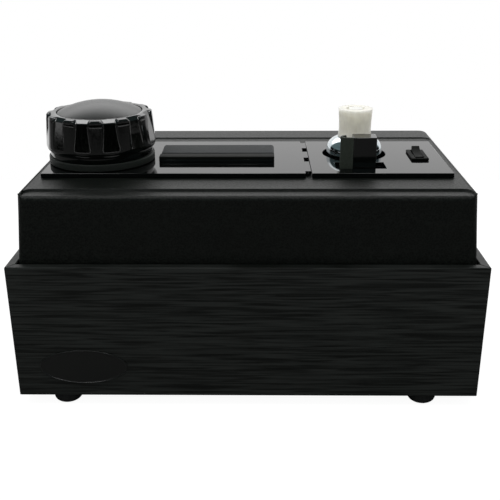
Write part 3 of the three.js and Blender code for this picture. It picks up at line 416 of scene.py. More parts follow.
@dataclass(frozen=True)
class Finish:
    """A surface finish, from a real material and how its surface was made."""

    name: str
    dark: str
    light: str
    roughness: float
    marks: Marks
    roughness_spread: float = 0.0
    height: float = 0.0
    metallic: float = 0.0
    ior: float = 1.5
    specular: float = 0.5
    sheen: float = 0.0
    anisotropic: float = 0.0
    subsurface: float = 0.0
    subsurface_reach: float = 1.0
    wear: float = 0.0
    blotch_size: float = 60.0
    blotch: float = 0.25
    low_mark: float = 0.35
    high_mark: float = 0.65

    def material(self) -> bpy.types.Material:
        """Gives the finish's material, made once and then shared."""
        found = bpy.data.materials.get(self.name)
        return found or self.build()

    def marks_value(self, tree: Tree, place: Socket) -> Socket:
        """Draws the marks as a value from about 0 to 1.

        Args:
            tree: the material's node tree.
            place: the point on the object.

        Returns:
            The socket that gives the value.
        """
        scale = tuple(1.0 / (size * MM) for size in self.marks.size)
        mapped = add_node(tree, "ShaderNodeMapping", {"Vector": place, "Scale": scale}).outputs["Vector"]
        if self.marks.pattern is Pattern.PEBBLES:
            cells = add_node(
                tree, "ShaderNodeTexVoronoi",
                {
                    "Vector": mapped, "Scale": 1.0, "Smoothness": PEBBLE_SMOOTHNESS,
                    "Randomness": PEBBLE_SCATTER,
                },
                feature="SMOOTH_F1",
            )
            return cells.outputs["Distance"]
        clouds = add_node(
            tree, "ShaderNodeTexNoise",
            {
                "Vector": mapped, "Scale": 1.0, "Detail": self.marks.detail,
                "Distortion": self.marks.warp,
            },
        )
        return clouds.outputs["Fac"]

    def build(self) -> bpy.types.Material:
        """Builds the material: two colours, a varied gloss and a relief, all from the marks."""
        material = bpy.data.materials.new(self.name)
        material.use_nodes = True
        tree = material.node_tree
        tree.nodes.clear()
        place = add_node(tree, "ShaderNodeTexCoord").outputs["Object"]
        marks = self.marks_value(tree, place)
        share = add_node(
            tree, "ShaderNodeMapRange",
            {"Value": marks, "From Min": self.low_mark, "From Max": self.high_mark},
            interpolation_type="SMOOTHSTEP",
        ).outputs["Result"]
        broad = add_node(
            tree, "ShaderNodeTexNoise",
            {"Vector": place, "Scale": 1.0 / (self.blotch_size * MM), "Detail": BROAD_DETAIL},
        ).outputs["Fac"]
        mixed = add_node(
            tree, "ShaderNodeMix", {"Factor": self.blotch, "A": share, "B": broad}, data_type="FLOAT"
        ).outputs["Result"]
        colour = mix_colour(tree, mixed, linear(self.dark), linear(self.light))
        if self.wear > 0.0:
            colour = self.worn_colour(tree, colour, share)
        gloss = add_node(
            tree, "ShaderNodeMapRange",
            {
                "Value": mixed,
                "To Min": self.roughness - self.roughness_spread,
                "To Max": self.roughness + self.roughness_spread,
            },
        ).outputs["Result"]
        sockets = {
            "Base Color": colour, "Roughness": gloss, "Metallic": self.metallic,
            "Specular IOR Level": self.specular, "Sheen Weight": self.sheen,
            "Anisotropic": self.anisotropic, "Subsurface Weight": self.subsurface,
            "Subsurface Scale": self.subsurface_reach * MM, "Subsurface Radius": (1.0, 1.0, 1.0),
        }
        if self.metallic == 0.0:
            sockets["IOR"] = self.ior
        if self.height > 0.0:
            sockets["Normal"] = add_node(
                tree, "ShaderNodeBump",
                {"Height": marks, "Distance": self.height * MM, "Strength": 1.0},
            ).outputs["Normal"]
        shader = add_node(tree, "ShaderNodeBsdfPrincipled", sockets)
        add_node(tree, "ShaderNodeOutputMaterial", {"Surface": shader.outputs["BSDF"]})
        return material

    def worn_colour(
        self, tree: Tree, colour: Socket, share: Socket
    ) -> Socket:
        """Lightens convex edges a little, broken up by the marks, as handling does.

        Args:
            tree: the material's node tree.
            colour: the colour of the flat surface.
            share: the marks' value.

        Returns:
            The socket that gives the worn colour.
        """
        bend = add_node(tree, "ShaderNodeNewGeometry").outputs["Pointiness"]
        edge = add_node(
            tree, "ShaderNodeMapRange",
            {"Value": bend, "From Min": WORN_BEND[0], "From Max": WORN_BEND[1], "To Max": self.wear},
        ).outputs["Result"]
        broken = add_node(
            tree, "ShaderNodeMath", {0: edge, 1: share}, operation="MULTIPLY"
        ).outputs["Value"]
        pale = tuple(min(1.0, WORN_GAIN * part + WORN_LIFT) for part in linear(self.light)[:3])
        return mix_colour(tree, broken, colour, pale)


# Board wrapped in printed black vinyl: long, low grain with a satin sheen, along X on the front
VINYL_ALONG_X = Finish(
    name="vinyl_grain_along_x", dark="#090c09", light="#191c1a", roughness=0.5, roughness_spread=0.08,
    marks=Marks(size=(55.0, 30.0, 1.6), detail=6.0, warp=0.6), height=0.05, blotch_size=45.0, wear=0.3,
    specular=0.25,
)
# The same vinyl with its grain along Y, on the sides
VINYL_ALONG_Y = replace(
    VINYL_ALONG_X, name="vinyl_grain_along_y", marks=Marks(size=(30.0, 55.0, 1.6), detail=6.0, warp=0.6)
)
# Vacuum-formed ABS sheet with a haircell grain: round pebbles that catch the light one by one.
# Real ones are just under a millimetre across, drawn a little coarser so that they show.
PEBBLED_ABS = Finish(
    name="pebbled_abs", dark="#020302", light="#121612", roughness=0.46, roughness_spread=0.06,
    marks=Marks(size=(1.3, 1.3, 1.3), pattern=Pattern.PEBBLES), height=0.2, blotch=0.1,
    low_mark=0.15, high_mark=0.7, specular=0.2,
)
# Cast acrylic sheet with polished faces: deep black under a hard mirror gloss
POLISHED_ACRYLIC = Finish(
    name="polished_acrylic", dark="#050606", light="#0a0b0a", roughness=0.05, roughness_spread=0.02,
    marks=Marks(size=(0.4, 0.4, 0.4), detail=2.0), ior=1.49, blotch=0.6,
)
# Compression-moulded phenolic: black with a wet shine and a faint orange peel
GLOSS_PHENOLIC = Finish(
    name="gloss_phenolic", dark="#020302", light="#050705", roughness=0.08, roughness_spread=0.02,
    marks=Marks(size=(3.0, 3.0, 3.0), detail=2.0), height=0.01, ior=1.6, blotch=0.4,
)
# Matt moulded black plastic with a fine spark-eroded grain
MATT_MOULDED = Finish(
    name="matt_moulded", dark="#121512", light="#1d211d", roughness=0.62, roughness_spread=0.05,
    marks=Marks(size=(0.5, 0.5, 0.5), detail=2.0), height=0.02, wear=0.2,
)
# Satin moulded plastic of the cap's insert and the bare badge plate
SATIN_MOULDED = Finish(
    name="satin_moulded", dark="#080a08", light="#0e110e", roughness=0.34, roughness_spread=0.04,
    marks=Marks(size=(0.6, 0.6, 0.6), detail=2.0), height=0.01,
)
# Filled nylon of the switch and the smooth lip: dark with little shine
FILLED_NYLON = Finish(
    name="filled_nylon", dark="#080a07", light="#0d100c", roughness=0.65, roughness_spread=0.05,
    marks=Marks(size=(0.6, 0.6, 0.6), detail=2.0), height=0.015, specular=0.1, wear=0.1,
)
# The same nylon painted a lighter grey for the pull lever's hook: painted light, standing in for the light
# that falls on its front face
NYLON_PAINTED_LIT = replace(
    FILLED_NYLON, name="nylon_painted_lit", dark="#252b25", light="#323831", roughness=0.6,
    marks=Marks(size=(0.8, 0.8, 0.8)), specular=0.2,
)
# Short-pile velvet strip: dark, with a pale bloom where the pile is seen edge-on
PILE_VELVET = Finish(
    name="pile_velvet", dark="#101314", light="#24282a", roughness=0.9, sheen=0.15,
    marks=Marks(size=(0.45, 0.6, 0.45), detail=4.0), height=0.2,
)
# Natural latex rubber: cream, soft and slightly translucent, so smooth in its shading
LATEX_RUBBER = Finish(
    name="latex_rubber", dark="#e2dfd2", light="#eceadc", roughness=0.42, roughness_spread=0.05,
    marks=Marks(size=(2.5, 2.5, 6.0), detail=3.0), height=0.02, blotch_size=25.0,
    subsurface=1.0, subsurface_reach=12.0,
)
# Moulded nylon: plain white with a low sheen
WHITE_NYLON = Finish(
    name="white_nylon", dark="#e4e4dd", light="#efefe9", roughness=0.36, roughness_spread=0.05,
    marks=Marks(size=(1.5, 1.5, 1.5), detail=2.0), height=0.01, subsurface=0.5, subsurface_reach=3.0,
)
# Black moulded rubber with a dusty, powdered surface
MOULDED_RUBBER = Finish(
    name="moulded_rubber", dark="#0b0c0b", light="#191b19", roughness=0.8, roughness_spread=0.08,
    marks=Marks(size=(1.2, 1.2, 1.2), detail=3.0), height=0.04,
)
# The mat's rubber, with a coarse pebble moulded in for grip
PEBBLED_RUBBER = Finish(
    name="pebbled_rubber", dark="#0a0e0a", light="#1a211b", roughness=0.6, roughness_spread=0.08,
    marks=Marks(size=(0.9, 0.9, 0.9), pattern=Pattern.PEBBLES), height=0.16, blotch=0.2,
    low_mark=0.1, high_mark=0.75,
)
# Turned steel under a polished bright plate
POLISHED_PLATE = Finish(
    name="polished_plate", dark="#b9c3c8", light="#d8dfe2", roughness=0.09, roughness_spread=0.03,
    marks=Marks(size=(12.0, 12.0, 0.5), detail=2.0), metallic=1.0,
)
# Zinc-plated steel sheet and bar, dull with a faint spangle
ZINC_STEEL = Finish(
    name="zinc_steel", dark="#7c8286", light="#a3a8ab", roughness=0.36, roughness_spread=0.08,
    marks=Marks(size=(3.0, 3.0, 3.0), detail=4.0), height=0.01, metallic=1.0,
)
# Sintered bronze bush: warm, porous and unpolished
SINTERED_BRONZE = Finish(
    name="sintered_bronze", dark="#7d5a2c", light="#a88045", roughness=0.48, roughness_spread=0.08,
    marks=Marks(size=(0.5, 0.5, 0.5), detail=3.0), height=0.03, metallic=1.0,
)
# Pressed aluminium fan: pale, with the streaks of rolled sheet
PRESSED_ALUMINIUM = Finish(
    name="pressed_aluminium", dark="#a7aaac", light="#c9cccd", roughness=0.32, roughness_spread=0.08,
    marks=Marks(size=(8.0, 0.4, 8.0), detail=3.0), metallic=1.0, anisotropic=0.3,
)
# Bare particle board: pressed chips of several browns
PARTICLE_BOARD = Finish(
    name="particle_board", dark="#5d452b", light="#a98b61", roughness=0.85, roughness_spread=0.06,
    marks=Marks(size=(3.5, 3.5, 1.2), detail=5.0), height=0.15,
)
# Natural polythene: milky white and waxy
NATURAL_POLYTHENE = Finish(
    name="natural_polythene", dark="#cfcfc6", light="#dfdfd8", roughness=0.45, roughness_spread=0.05,
    marks=Marks(size=(5.0, 5.0, 5.0), detail=3.0), height=0.02,
)


def dress(
    piece: Thing, finish: Finish, body: str, slot: str, *nodes: str, sharp_degrees: float = 34.0
) -> None:
    """Gives a new piece its finish and its place among the machine's bodies.

    Args:
        piece: the piece, in place.
        finish: what its surface is.
        body: the body that it rides on.
        slot: the record's material slot; not used.
        *nodes: the solids that it stands for.
        sharp_degrees: the least fold that stays sharp in the shading.
    """
    mesh = piece.data
    mesh.materials.clear()
    mesh.materials.append(finish.material())
    mesh.shade_smooth()
    mesh.set_sharp_from_angle(angle=np.radians(sharp_degrees))
    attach(piece, body)
    if nodes:
        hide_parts(*nodes)
    LOG.info("%s: %d faces on %s", piece.name, len(mesh.polygons), body)


def paint(finish: Finish, *nodes: str) -> None:
    """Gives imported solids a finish.

    Args:
        finish: what their surface is.
        *nodes: names of the solids.
    """
    for node in nodes:
        solid = frame["nodes"][node]
        if solid.material_slots:
            for slot in solid.material_slots:
                slot.material = finish.material()
        else:
            solid.data.materials.append(finish.material())
        LOG.info("%s keeps its solid, in %s", node, finish.name)


@dataclass
class Cabinet:
    """The wrapped board box with its feet and badge plate."""

    easing: float = 0.6
    foot_edge: float = 4.4
    foot_recess: float = 4.8
    screw_room: float = 3.9
    screw_hole: float = 2.2
    badge_face: float = 0.35
    badge_rings: int = 14
    badge_columns: int = 160

    def build(self) -> None:
        """Builds the panels, the feet and the badge."""
        for node, finish in (
            ("front_panel", VINYL_ALONG_X), ("back_panel", VINYL_ALONG_X),
            ("left_panel", VINYL_ALONG_Y), ("right_panel", VINYL_ALONG_Y),
        ):
            panel = eased_copy(node, self.easing, Edges.LEVEL)
            dress(panel, finish, "cabinet", "wood_vinyl", node)
        paint(PARTICLE_BOARD, "bottom_panel", "hood_cleat_left", "hood_cleat_right")
        for corner in ("front_left", "front_right", "back_left", "back_right"):
            self.build_foot(corner)
            paint(ZINC_STEEL, f"foot_screw_{corner}")
        self.build_badge()

    def build_foot(self, corner: str) -> None:
        """Builds one rubber foot: a turned puck with a rounded tread edge and a screw recess.

        Args:
            corner: which foot.
        """
        node = f"foot_{corner}"
        low, high = box_of(node)
        radius = (high[0] - low[0]) / 2.0
        centre = np.array([(low[0] + high[0]) / 2.0, (low[1] + high[1]) / 2.0, 0.0])
        profile = fillet([
            (self.screw_hole, self.foot_recess, 0.0),
            (self.screw_room, self.foot_recess, 0.4),
            (self.screw_room, 0.0, 0.5),
            (radius, 0.0, self.foot_edge),
            (radius, high[2], 0.5),
            (self.screw_hole, high[2], 0.0),
        ], closed=True)
        foot = revolve(f"rubber_{node}", profile, centre, steps=64, closed=True)
        dress(foot, MOULDED_RUBBER, "cabinet", "rubber", node)

    def oval(self, name: str, profile: Array) -> Thing:
        """Carries a profile round the badge's oval.

        A profile point holds a share f of the oval's half axes and a height h off the panel, and
        goes to (half width f cos a, -h, half height f sin a) from the oval's middle.

        Args:
            name: the new object's name.
            profile: the profile's points.

        Returns:
            The object.
        """
        low, high = box_of("badge_plate")
        middle = (low + high) / 2.0
        half = (high - low) / 2.0
        angle = np.linspace(0.0, 2.0 * np.pi, self.badge_columns, endpoint=False)[None, :]
        share = profile[:, :1]
        out = np.broadcast_to(profile[:, 1:], (len(profile), self.badge_columns))
        points = np.stack([
            middle[0] + half[0] * share * np.cos(angle),
            high[1] - out,
            middle[2] + half[2] * share * np.sin(angle),
        ], -1)
        return grid_object(name, points)

    def build_badge(self) -> None:
        """Builds the bare oval plate: a flat face sunk behind a thin rounded rim."""
        low, high = box_of("badge_plate")
        full = high[1] - low[1]
        share = np.linspace(0.0, 0.95, self.badge_rings)
        face = np.column_stack([share, np.full(len(share), self.badge_face)])
        rim = np.array([
            [0.958, self.badge_face + 0.06], [0.966, full - 0.12], [0.973, full - 0.02],
            [0.982, full - 0.02], [0.992, full - 0.1], [1.0, full - 0.3], [1.0, 0.0], [0.0, 0.0],
        ])
        plate = self.oval("badge_bare_plate", np.concatenate([face, rim]))
        dress(plate, SATIN_MOULDED, "cabinet", "gloss_black", "badge_plate")


@dataclass
class Hood:
    """The vacuum-formed cover with its sunk deck and front ledge."""

    rim: float = 1.0
    edge: float = 4.7
    corner_low: float = 3.0
    corner_high: float = 8.5
    draft: float = 0.0537
    wall: float = 3.0
    patch_degrees: float = 60.0
    side_rim: float = 3.0
    recess_back: float = 71.49
    recess_corner: float = 8.0
    ledge: float = 1.8
    ledge_side: float = 0.4
    ledge_back: float = -90.39
    ledge_corner: float = 6.0
    front_radius: float = 4.0
    fold: float = 0.7
    fine: float = 0.33
    coarse: float = 4.0
    wall_rows: int = 8
    edge_rows: int = 9
    side_fine: float = 160.0
    front_fine: float = 86.0
    back_fine: tuple[float, float, float] = (66.0, 77.0, 92.0)
    openings: list = field(default_factory=lambda: [
        (-156.4, 38.0, -54.0, 36.9),
        (58.0, 155.4, -54.0, 36.9),
    ])

    def __post_init__(self) -> None:
        """Takes the outer size from the solid, and the recess and ledge from that."""
        low, high = box_of("hood")
        self.bottom = low[2]
        self.top = high[2]
        self.deck = self.top - self.rim
        self.base_half = np.array([high[0], high[1]])
        self.recess_half = self.halves(self.deck, 0.0)[0] - self.side_rim
        self.ledge_half = self.recess_half - self.ledge_side

    def halves(self, height: float, inset: float) -> Array:
        """Gives the half width and depth at a height, less an inset."""
        return self.base_half - self.draft * (height - self.bottom) - inset

    def corner_at(self, height: float) -> float:
        """Gives the corners' radius, which widens smoothly from the foot to the top."""
        share = float(smooth_step((height - self.bottom) / (self.top - self.bottom)))
        return self.corner_low + (self.corner_high - self.corner_low) * share

    def lines(self, stops: list[float], finely: list[tuple[float, float]]) -> Array:
        """Spaces grid lines: coarse ones between the stops, fine ones within the given spans.

        Args:
            stops: places that a line has to meet, the two ends among them.
            finely: spans that get fine lines.

        Returns:
            The lines' places in rising order.
        """
        marks = sorted(set(stops + [end for span in finely for end in span]))
        pieces = []
        for start, end in zip(marks[:-1], marks[1:]):
            middle = (start + end) / 2.0
            inside = any(low < middle < high for low, high in finely)
            count = max(1, int(np.ceil((end - start) / (self.fine if inside else self.coarse))))
            pieces.append(np.linspace(start, end, count, endpoint=False))
        return np.append(np.concatenate(pieces), marks[-1])

    def ring(self, half: Array, corner: float, across: Array, along: Array) -> Array:
        """Gives the points of a rounded rectangle, from its front left corner round to it again.

        On the front and back a point's x is a share of the place where the corner arc is at 45
        degrees, and its y lies on the straight side or on the arc. The sides are alike.

        Args:
            half: half width and depth.
            corner: the corners' radius.
            across: shares along the front and back, from -1 to 1.
            along: shares along the sides, from -1 to 1.

        Returns:
            An array of points in X and Y.
        """
        x_side, y_side = self.side_places(half, corner, across, along)
        limit = half - corner * (1.0 - np.sqrt(0.5))
        x_front = across * limit[0]
        y_flank = along * limit[1]
        front = np.column_stack([x_front, -y_side])[:-1]
        right = np.column_stack([x_side, y_flank])[:-1]
        back = np.column_stack([x_front, y_side])[::-1][:-1]
        left = np.column_stack([-x_side, y_flank])[::-1][:-1]
        return np.concatenate([front, right, back, left])

    def side_places(
        self, half: Array, corner: float, across: Array, along: Array
    ) -> tuple[Array, Array]:
        """Gives how far out the right side and the front lie at each share along them.

        Args:
            half: half width and depth.
            corner: the corners' radius.
            across: shares along the front and back.
            along: shares along the sides.

        Returns:
            The right side's x at each share along, and the front's depth at each share across.
        """
        limit = half - corner * (1.0 - np.sqrt(0.5))
        straight = half - corner
        past_x = np.maximum(np.abs(across * limit[0]) - straight[0], 0.0)
        past_y = np.maximum(np.abs(along * limit[1]) - straight[1], 0.0)
        x_side = straight[0] + np.sqrt(corner ** 2 - past_y ** 2)
        y_side = straight[1] + np.sqrt(corner ** 2 - past_x ** 2)
        return x_side, y_side

    @staticmethod
    def inside(
        x: Array, y: Array, span: tuple[float, float, float], corner: float
    ) -> Array:
        """Gives how deep a point lies inside a rounded rectangle that is centred on x = 0.

        It is the corner radius less the distance to the rectangle that is smaller by that
        radius all round, which is negative outside.

        Args:
            x: the points' x.
            y: the points' y.
            span: the half width, and the lowest and highest y.
            corner: the corners' radius.

        Returns:
            The depths.
        """
        half, front, back = span
        middle = (front + back) / 2.0
        over_x = np.abs(x) - half + corner
        over_y = np.abs(y - middle) - (back - front) / 2.0 + corner
        outside = np.hypot(np.maximum(over_x, 0.0), np.maximum(over_y, 0.0))
        return corner - outside - np.minimum(np.maximum(over_x, over_y), 0.0)

    def form_top(self, points: Array) -> Array:
        """Sinks the deck, the ledge and the rounded front edge into the plain top.

        Inside the deck's outline the height goes down to the deck, and inside the ledge's to the
        ledge. Each fold is an S curve across its width. Forward of the ledge the height follows
        a quarter circle down to the front wall.

        Args:
            points: the plain top's points, whose heights are changed.

        Returns:
            The points.
        """
        x, y, z = points[..., 0], points[..., 1], points[..., 2]
        far = 400.0
        recess = self.inside(x, y, (self.recess_half, -far, self.recess_back), self.recess_corner)
        z = z - np.maximum(z - self.deck, 0.0) * smooth_step(recess / self.fold + 0.5)
        wall = -self.halves(self.deck - self.ledge - self.front_radius, 0.0)[1]
        level = self.deck - self.ledge
        ahead = np.clip(wall + self.front_radius - y, 0.0, self.front_radius)
        front = level - self.front_radius + np.sqrt(self.front_radius ** 2 - ahead ** 2)
        shelf = self.inside(x, y, (self.ledge_half, -far, self.ledge_back), self.ledge_corner)
        z = z - np.maximum(z - front, 0.0) * smooth_step(shelf / self.fold + 0.5)
        return np.stack([x, y, z], -1)

    def build(self) -> None:
        """Builds the cover: rings up the walls and over the edge, then a grid across the top."""
        last = np.radians(self.patch_degrees)
        patch_height = self.top - self.edge + self.edge * np.sin(last)
        patch_half = self.halves(patch_height, self.edge * (1.0 - np.cos(last)))
        across_lines = self.lines(
            [-patch_half[0], patch_half[0]] + [x for box in self.openings for x in box[:2]],
            [(-patch_half[0], -self.side_fine), (self.side_fine, patch_half[0])],
        )
        along_lines = self.lines(
            [-patch_half[1], patch_half[1]] + list(self.openings[0][2:]),
            [
                (-patch_half[1], -self.front_fine), self.back_fine[:2],
                (self.back_fine[2], patch_half[1]),
            ],
        )
        across = across_lines / patch_half[0]
        along = along_lines / patch_half[1]
        front_foot = self.deck - self.ledge - self.front_radius
        straight = np.linspace(self.bottom, front_foot - 2.0, self.wall_rows)
        heights = np.append(straight, [front_foot, front_foot + 1.0])
        rows = [
            upright(
                self.ring(self.halves(height, 0.0), self.corner_at(height), across, along), height
            )
            for height in heights
        ]
        for angle in np.linspace(0.0, last, self.edge_rows):
            height = self.top - self.edge + self.edge * np.sin(angle)
            inset = self.edge * (1.0 - np.cos(angle))
            corner = self.corner_at(height) - inset
            rows.append(upright(self.ring(self.halves(height, inset), corner, across, along), height))
        walls = np.stack(rows)
        corner = self.corner_at(patch_height) - self.edge * (1.0 - np.cos(last))
        x_side, y_side = self.side_places(patch_half, corner, across, along)
        x = across[None, :] * x_side[:, None]
        y = along[:, None] * y_side[None, :]
        outer = self.halves(self.top, 0.0)
        depth = self.inside(x, y, (outer[0], -outer[1], outer[1]), self.corner_high)
        short = np.maximum(self.edge - depth, 0.0)
        z = self.top - self.edge + np.sqrt(np.maximum(self.edge ** 2 - short ** 2, 0.0))
        top = np.stack([x, y, z], -1)
        wall_quads = grid_quads(*walls.shape[:2], False, True)
        top_quads = grid_quads(*top.shape[:2], False, False)
        middles = top.reshape(-1, 3)[top_quads].mean(1)
        open_faces = np.zeros(len(top_quads), bool)
        for low_x, high_x, low_y, high_y in self.openings:
            open_faces |= (
                (middles[:, 0] > low_x) & (middles[:, 0] < high_x)
                & (middles[:, 1] > low_y) & (middles[:, 1] < high_y)
            )
        top_quads = top_quads[~open_faces] + walls.shape[0] * walls.shape[1]
        points = self.form_top(np.concatenate([walls.reshape(-1, 3), top.reshape(-1, 3)]))
        faces = np.concatenate([wall_quads, top_quads])
        cover = mesh_object("hood_cover", points, faces.tolist(), outward=False)
        self.clear_loose(cover)
        solid = cover.modifiers.new("wall", "SOLIDIFY")
        solid.thickness = self.wall * MM
        solid.offset = -1.0
        solid.use_even_offset = False
        dress(cover, PEBBLED_ABS, "cabinet", "textured_black", "hood", sharp_degrees=60.0)

    @staticmethod
    def clear_loose(piece: Thing) -> None:
        """Deletes the points that no face uses."""
        shell = bmesh.new()
        shell.from_mesh(piece.data)
        loose = [point for point in shell.verts if not point.link_faces]
        bmesh.ops.delete(shell, geom=loose, context="VERTS")
        shell.to_mesh(piece.data)
        shell.free()


@dataclass
class Deck:
    """The two polished plates."""

    easing: float = 0.35

    def build(self) -> None:
        """Builds the plates with eased edges."""
        for node in ("left_plate", "right_plate"):
            plate = eased_copy(node, self.easing, segments=2)
            dress(plate, POLISHED_ACRYLIC, "cabinet", "gloss_black", node)


@dataclass
class Hub:
    """Platter, mat and the lobed record cap with its domed insert."""

    lobes: int = 12
    first_degrees: float = -99.0
    neck: float = 42.4
    neck_top: float = 10.4
    skirt: float = 45.1
    skirt_rise: float = 15.2
    crown: float = 43.5
    crown_rise: float = 36.4
    shoulder: float = 43.2
    shoulder_rise: float = 38.4
    squareness: float = 0.6
    ring: float = 38.6
    top: float = 41.2
    recess: float = 35.2
    recess_depth: float = 2.6
    bore: float = 4.0
    bore_top: float = 30.0
    facet_low: float = 44.7
    facet_high: float = 41.4
    floor_low: float = 6.6
    floor_waist: float = 4.6
    floor_high: float = 6.4
    flank: float = 1.3
    columns_each: int = 44
    dome: float = 8.7
    dome_edge: float = 1.0

    def place(self) -> Array:
        """Gives the hub's middle on the plate's top."""
        return middle_on("platter_mat", "left_plate")

    def build(self) -> None:
        """Builds the mat, the cap and the insert, and finishes what lies under them."""
        paint(SINTERED_BRONZE, "spindle_bush")
        paint(ZINC_STEEL, "spindle", "spindle_clip")
        paint(MATT_MOULDED, "platter")
        self.build_mat()
        self.build_cap()
        self.build_insert()

    def build_mat(self) -> None:
        """Builds the pebbled mat as a turned ring with rounded edges and a lip over the platter."""
        centre = self.place()
        radius, bottom, top = turned_sizes("platter_mat", centre)
        disc = (box_of("platter")[1] - box_of("platter")[0])[0] / 2.0 + 0.3
        under = box_of("platter")[1][2] - centre[2] + 0.1
        hole = 4.2
        profile = fillet([
            (hole, under, 0.0), (disc, under, 0.2), (disc, bottom, 0.3), (radius, bottom, 0.5),
            (radius, top, 0.7), (hole, top, 0.3),
        ], closed=True, steps=5)
        mat = revolve("platter_mat_pebbled", profile, centre, steps=192, closed=True)
        dress(mat, PEBBLED_RUBBER, "turntable", "rubber", "platter_mat")

    def cap_profile(self) -> tuple[Array, Array]:
        """Gives the cap's envelope as radius and height, and which points the recesses cut."""
        bottom = box_of("record_cap")[0][2] - self.place()[2]
        underside = [(0.0, self.bore_top), (self.bore, self.bore_top), (self.bore, bottom)]
        neck = [
            (self.neck - 0.6, bottom), (self.neck - 0.18, bottom + 0.18), (self.neck, bottom + 0.6),
            (self.neck, self.neck_top - 0.4),
        ]
        lift = np.linspace(0.0, 1.0, 9)
        bulge = np.sin(lift * np.pi / 2.0)
        chamfer_z = self.neck_top + (self.skirt_rise - self.neck_top) * lift
        chamfer_r = self.neck + (self.skirt - self.neck) * bulge
        wall_z = np.linspace(self.skirt_rise, self.crown_rise, 16)[1:]
        wall_r = np.interp(wall_z, [self.skirt_rise, self.crown_rise], [self.skirt, self.crown])
        rise_z = np.linspace(self.crown_rise, self.shoulder_rise, 5)[1:]
        rise_r = np.interp(rise_z, [self.crown_rise, self.shoulder_rise], [self.crown, self.shoulder])
        turn = np.linspace(0.0, np.pi / 2.0, 22)[1:]
        over_r = self.ring + (self.shoulder - self.ring) * np.abs(np.cos(turn)) ** self.squareness
        over_z = self.shoulder_rise + (self.top - self.shoulder_rise) * np.sin(turn) ** self.squareness
        outside_r = np.concatenate([chamfer_r, wall_r, rise_r, over_r])
        outside_z = np.concatenate([chamfer_z, wall_z, rise_z, over_z])
        floor = self.top - self.recess_depth
        inside = [
            (self.recess + 0.5, self.top), (self.recess + 0.15, self.top - 0.15),
            (self.recess, self.top - 0.5), (self.recess, floor), (0.0, floor),
        ]
        before = np.array(underside + neck)
        outside = np.column_stack([outside_r, outside_z])
        profile = np.concatenate([before, outside, np.array(inside)])
        cut = np.zeros(len(profile), bool)
        cut[len(before):len(before) + len(outside)] = True
        return profile, cut

    def build_cap(self) -> None:
        """Builds the cap body: a turned envelope with flat recesses between its ribs.

        Within a recess the radius is the facet's distance from the axis over the cosine of the
        angle from the recess's middle. The facet leans in as it rises, and above the shoulder it
        tilts to 45 degrees. Its half width narrows up to the shoulder and widens above it. The
        flanks blend the facet into the ribs with an S curve.
        """
        centre = self.place()
        profile, cut = self.cap_profile()
        columns = self.lobes * self.columns_each
        angle = np.linspace(0.0, 2.0 * np.pi, columns, endpoint=False)[None, :]
        pitch = 2.0 * np.pi / self.lobes
        first = np.radians(self.first_degrees)
        off = (angle - first + pitch / 2.0) % pitch - pitch / 2.0
        radius = profile[:, :1]
        height = profile[:, 1:]
        facet = np.interp(height, [self.skirt_rise, self.shoulder_rise], [self.facet_low, self.facet_high])
        facet = facet - np.maximum(height - self.shoulder_rise, 0.0)
        reach = np.interp(
            height, [self.skirt_rise, self.shoulder_rise, self.top],
            [self.floor_low, self.floor_waist, self.floor_high],
        )
        across = np.abs(radius * np.sin(off))
        blend = 1.0 - smooth_step((across - reach) / self.flank)
        sunk = np.minimum(facet / np.cos(off), radius)
        lobed = np.where(cut[:, None], radius + (sunk - radius) * blend, radius)
        points = np.stack([
            lobed * np.cos(angle), lobed * np.sin(angle), np.broadcast_to(height, lobed.shape),
        ], -1)
        cap = grid_object("record_cap_lobed", points + centre)
        dress(cap, GLOSS_PHENOLIC, "cap", "gloss_black", "record_cap", sharp_degrees=38.0)

    def build_insert(self) -> None:
        """Builds the domed insert: a short rim, a rounded edge and a shallow crown.

        The crown is part of a sphere, whose radius is (r^2 + h^2) / 2h for the insert's radius r
        and the crown's height h.
        """
        centre = self.place()
        radius, bottom, top = turned_sizes("cap_insert", centre)
        sphere = (radius ** 2 + self.dome ** 2) / (2.0 * self.dome)
        share = np.linspace(1.0, 0.0, 40)[:, None] * (radius - 2.0 * self.dome_edge)
        crown = top - sphere + np.sqrt(sphere ** 2 - share ** 2)
        edge = fillet([
            (0.0, bottom, 0.0), (radius, bottom, 0.4), (radius, top - self.dome, self.dome_edge),
            (share[0, 0], crown[0, 0], 0.0),
        ], closed=False, steps=8)
        profile = np.concatenate([edge[:-1], np.column_stack([share, crown])])
        insert = revolve("cap_insert_domed", profile, centre, steps=192)
        dress(insert, SATIN_MOULDED, "cap", "matt_black", "cap_insert")


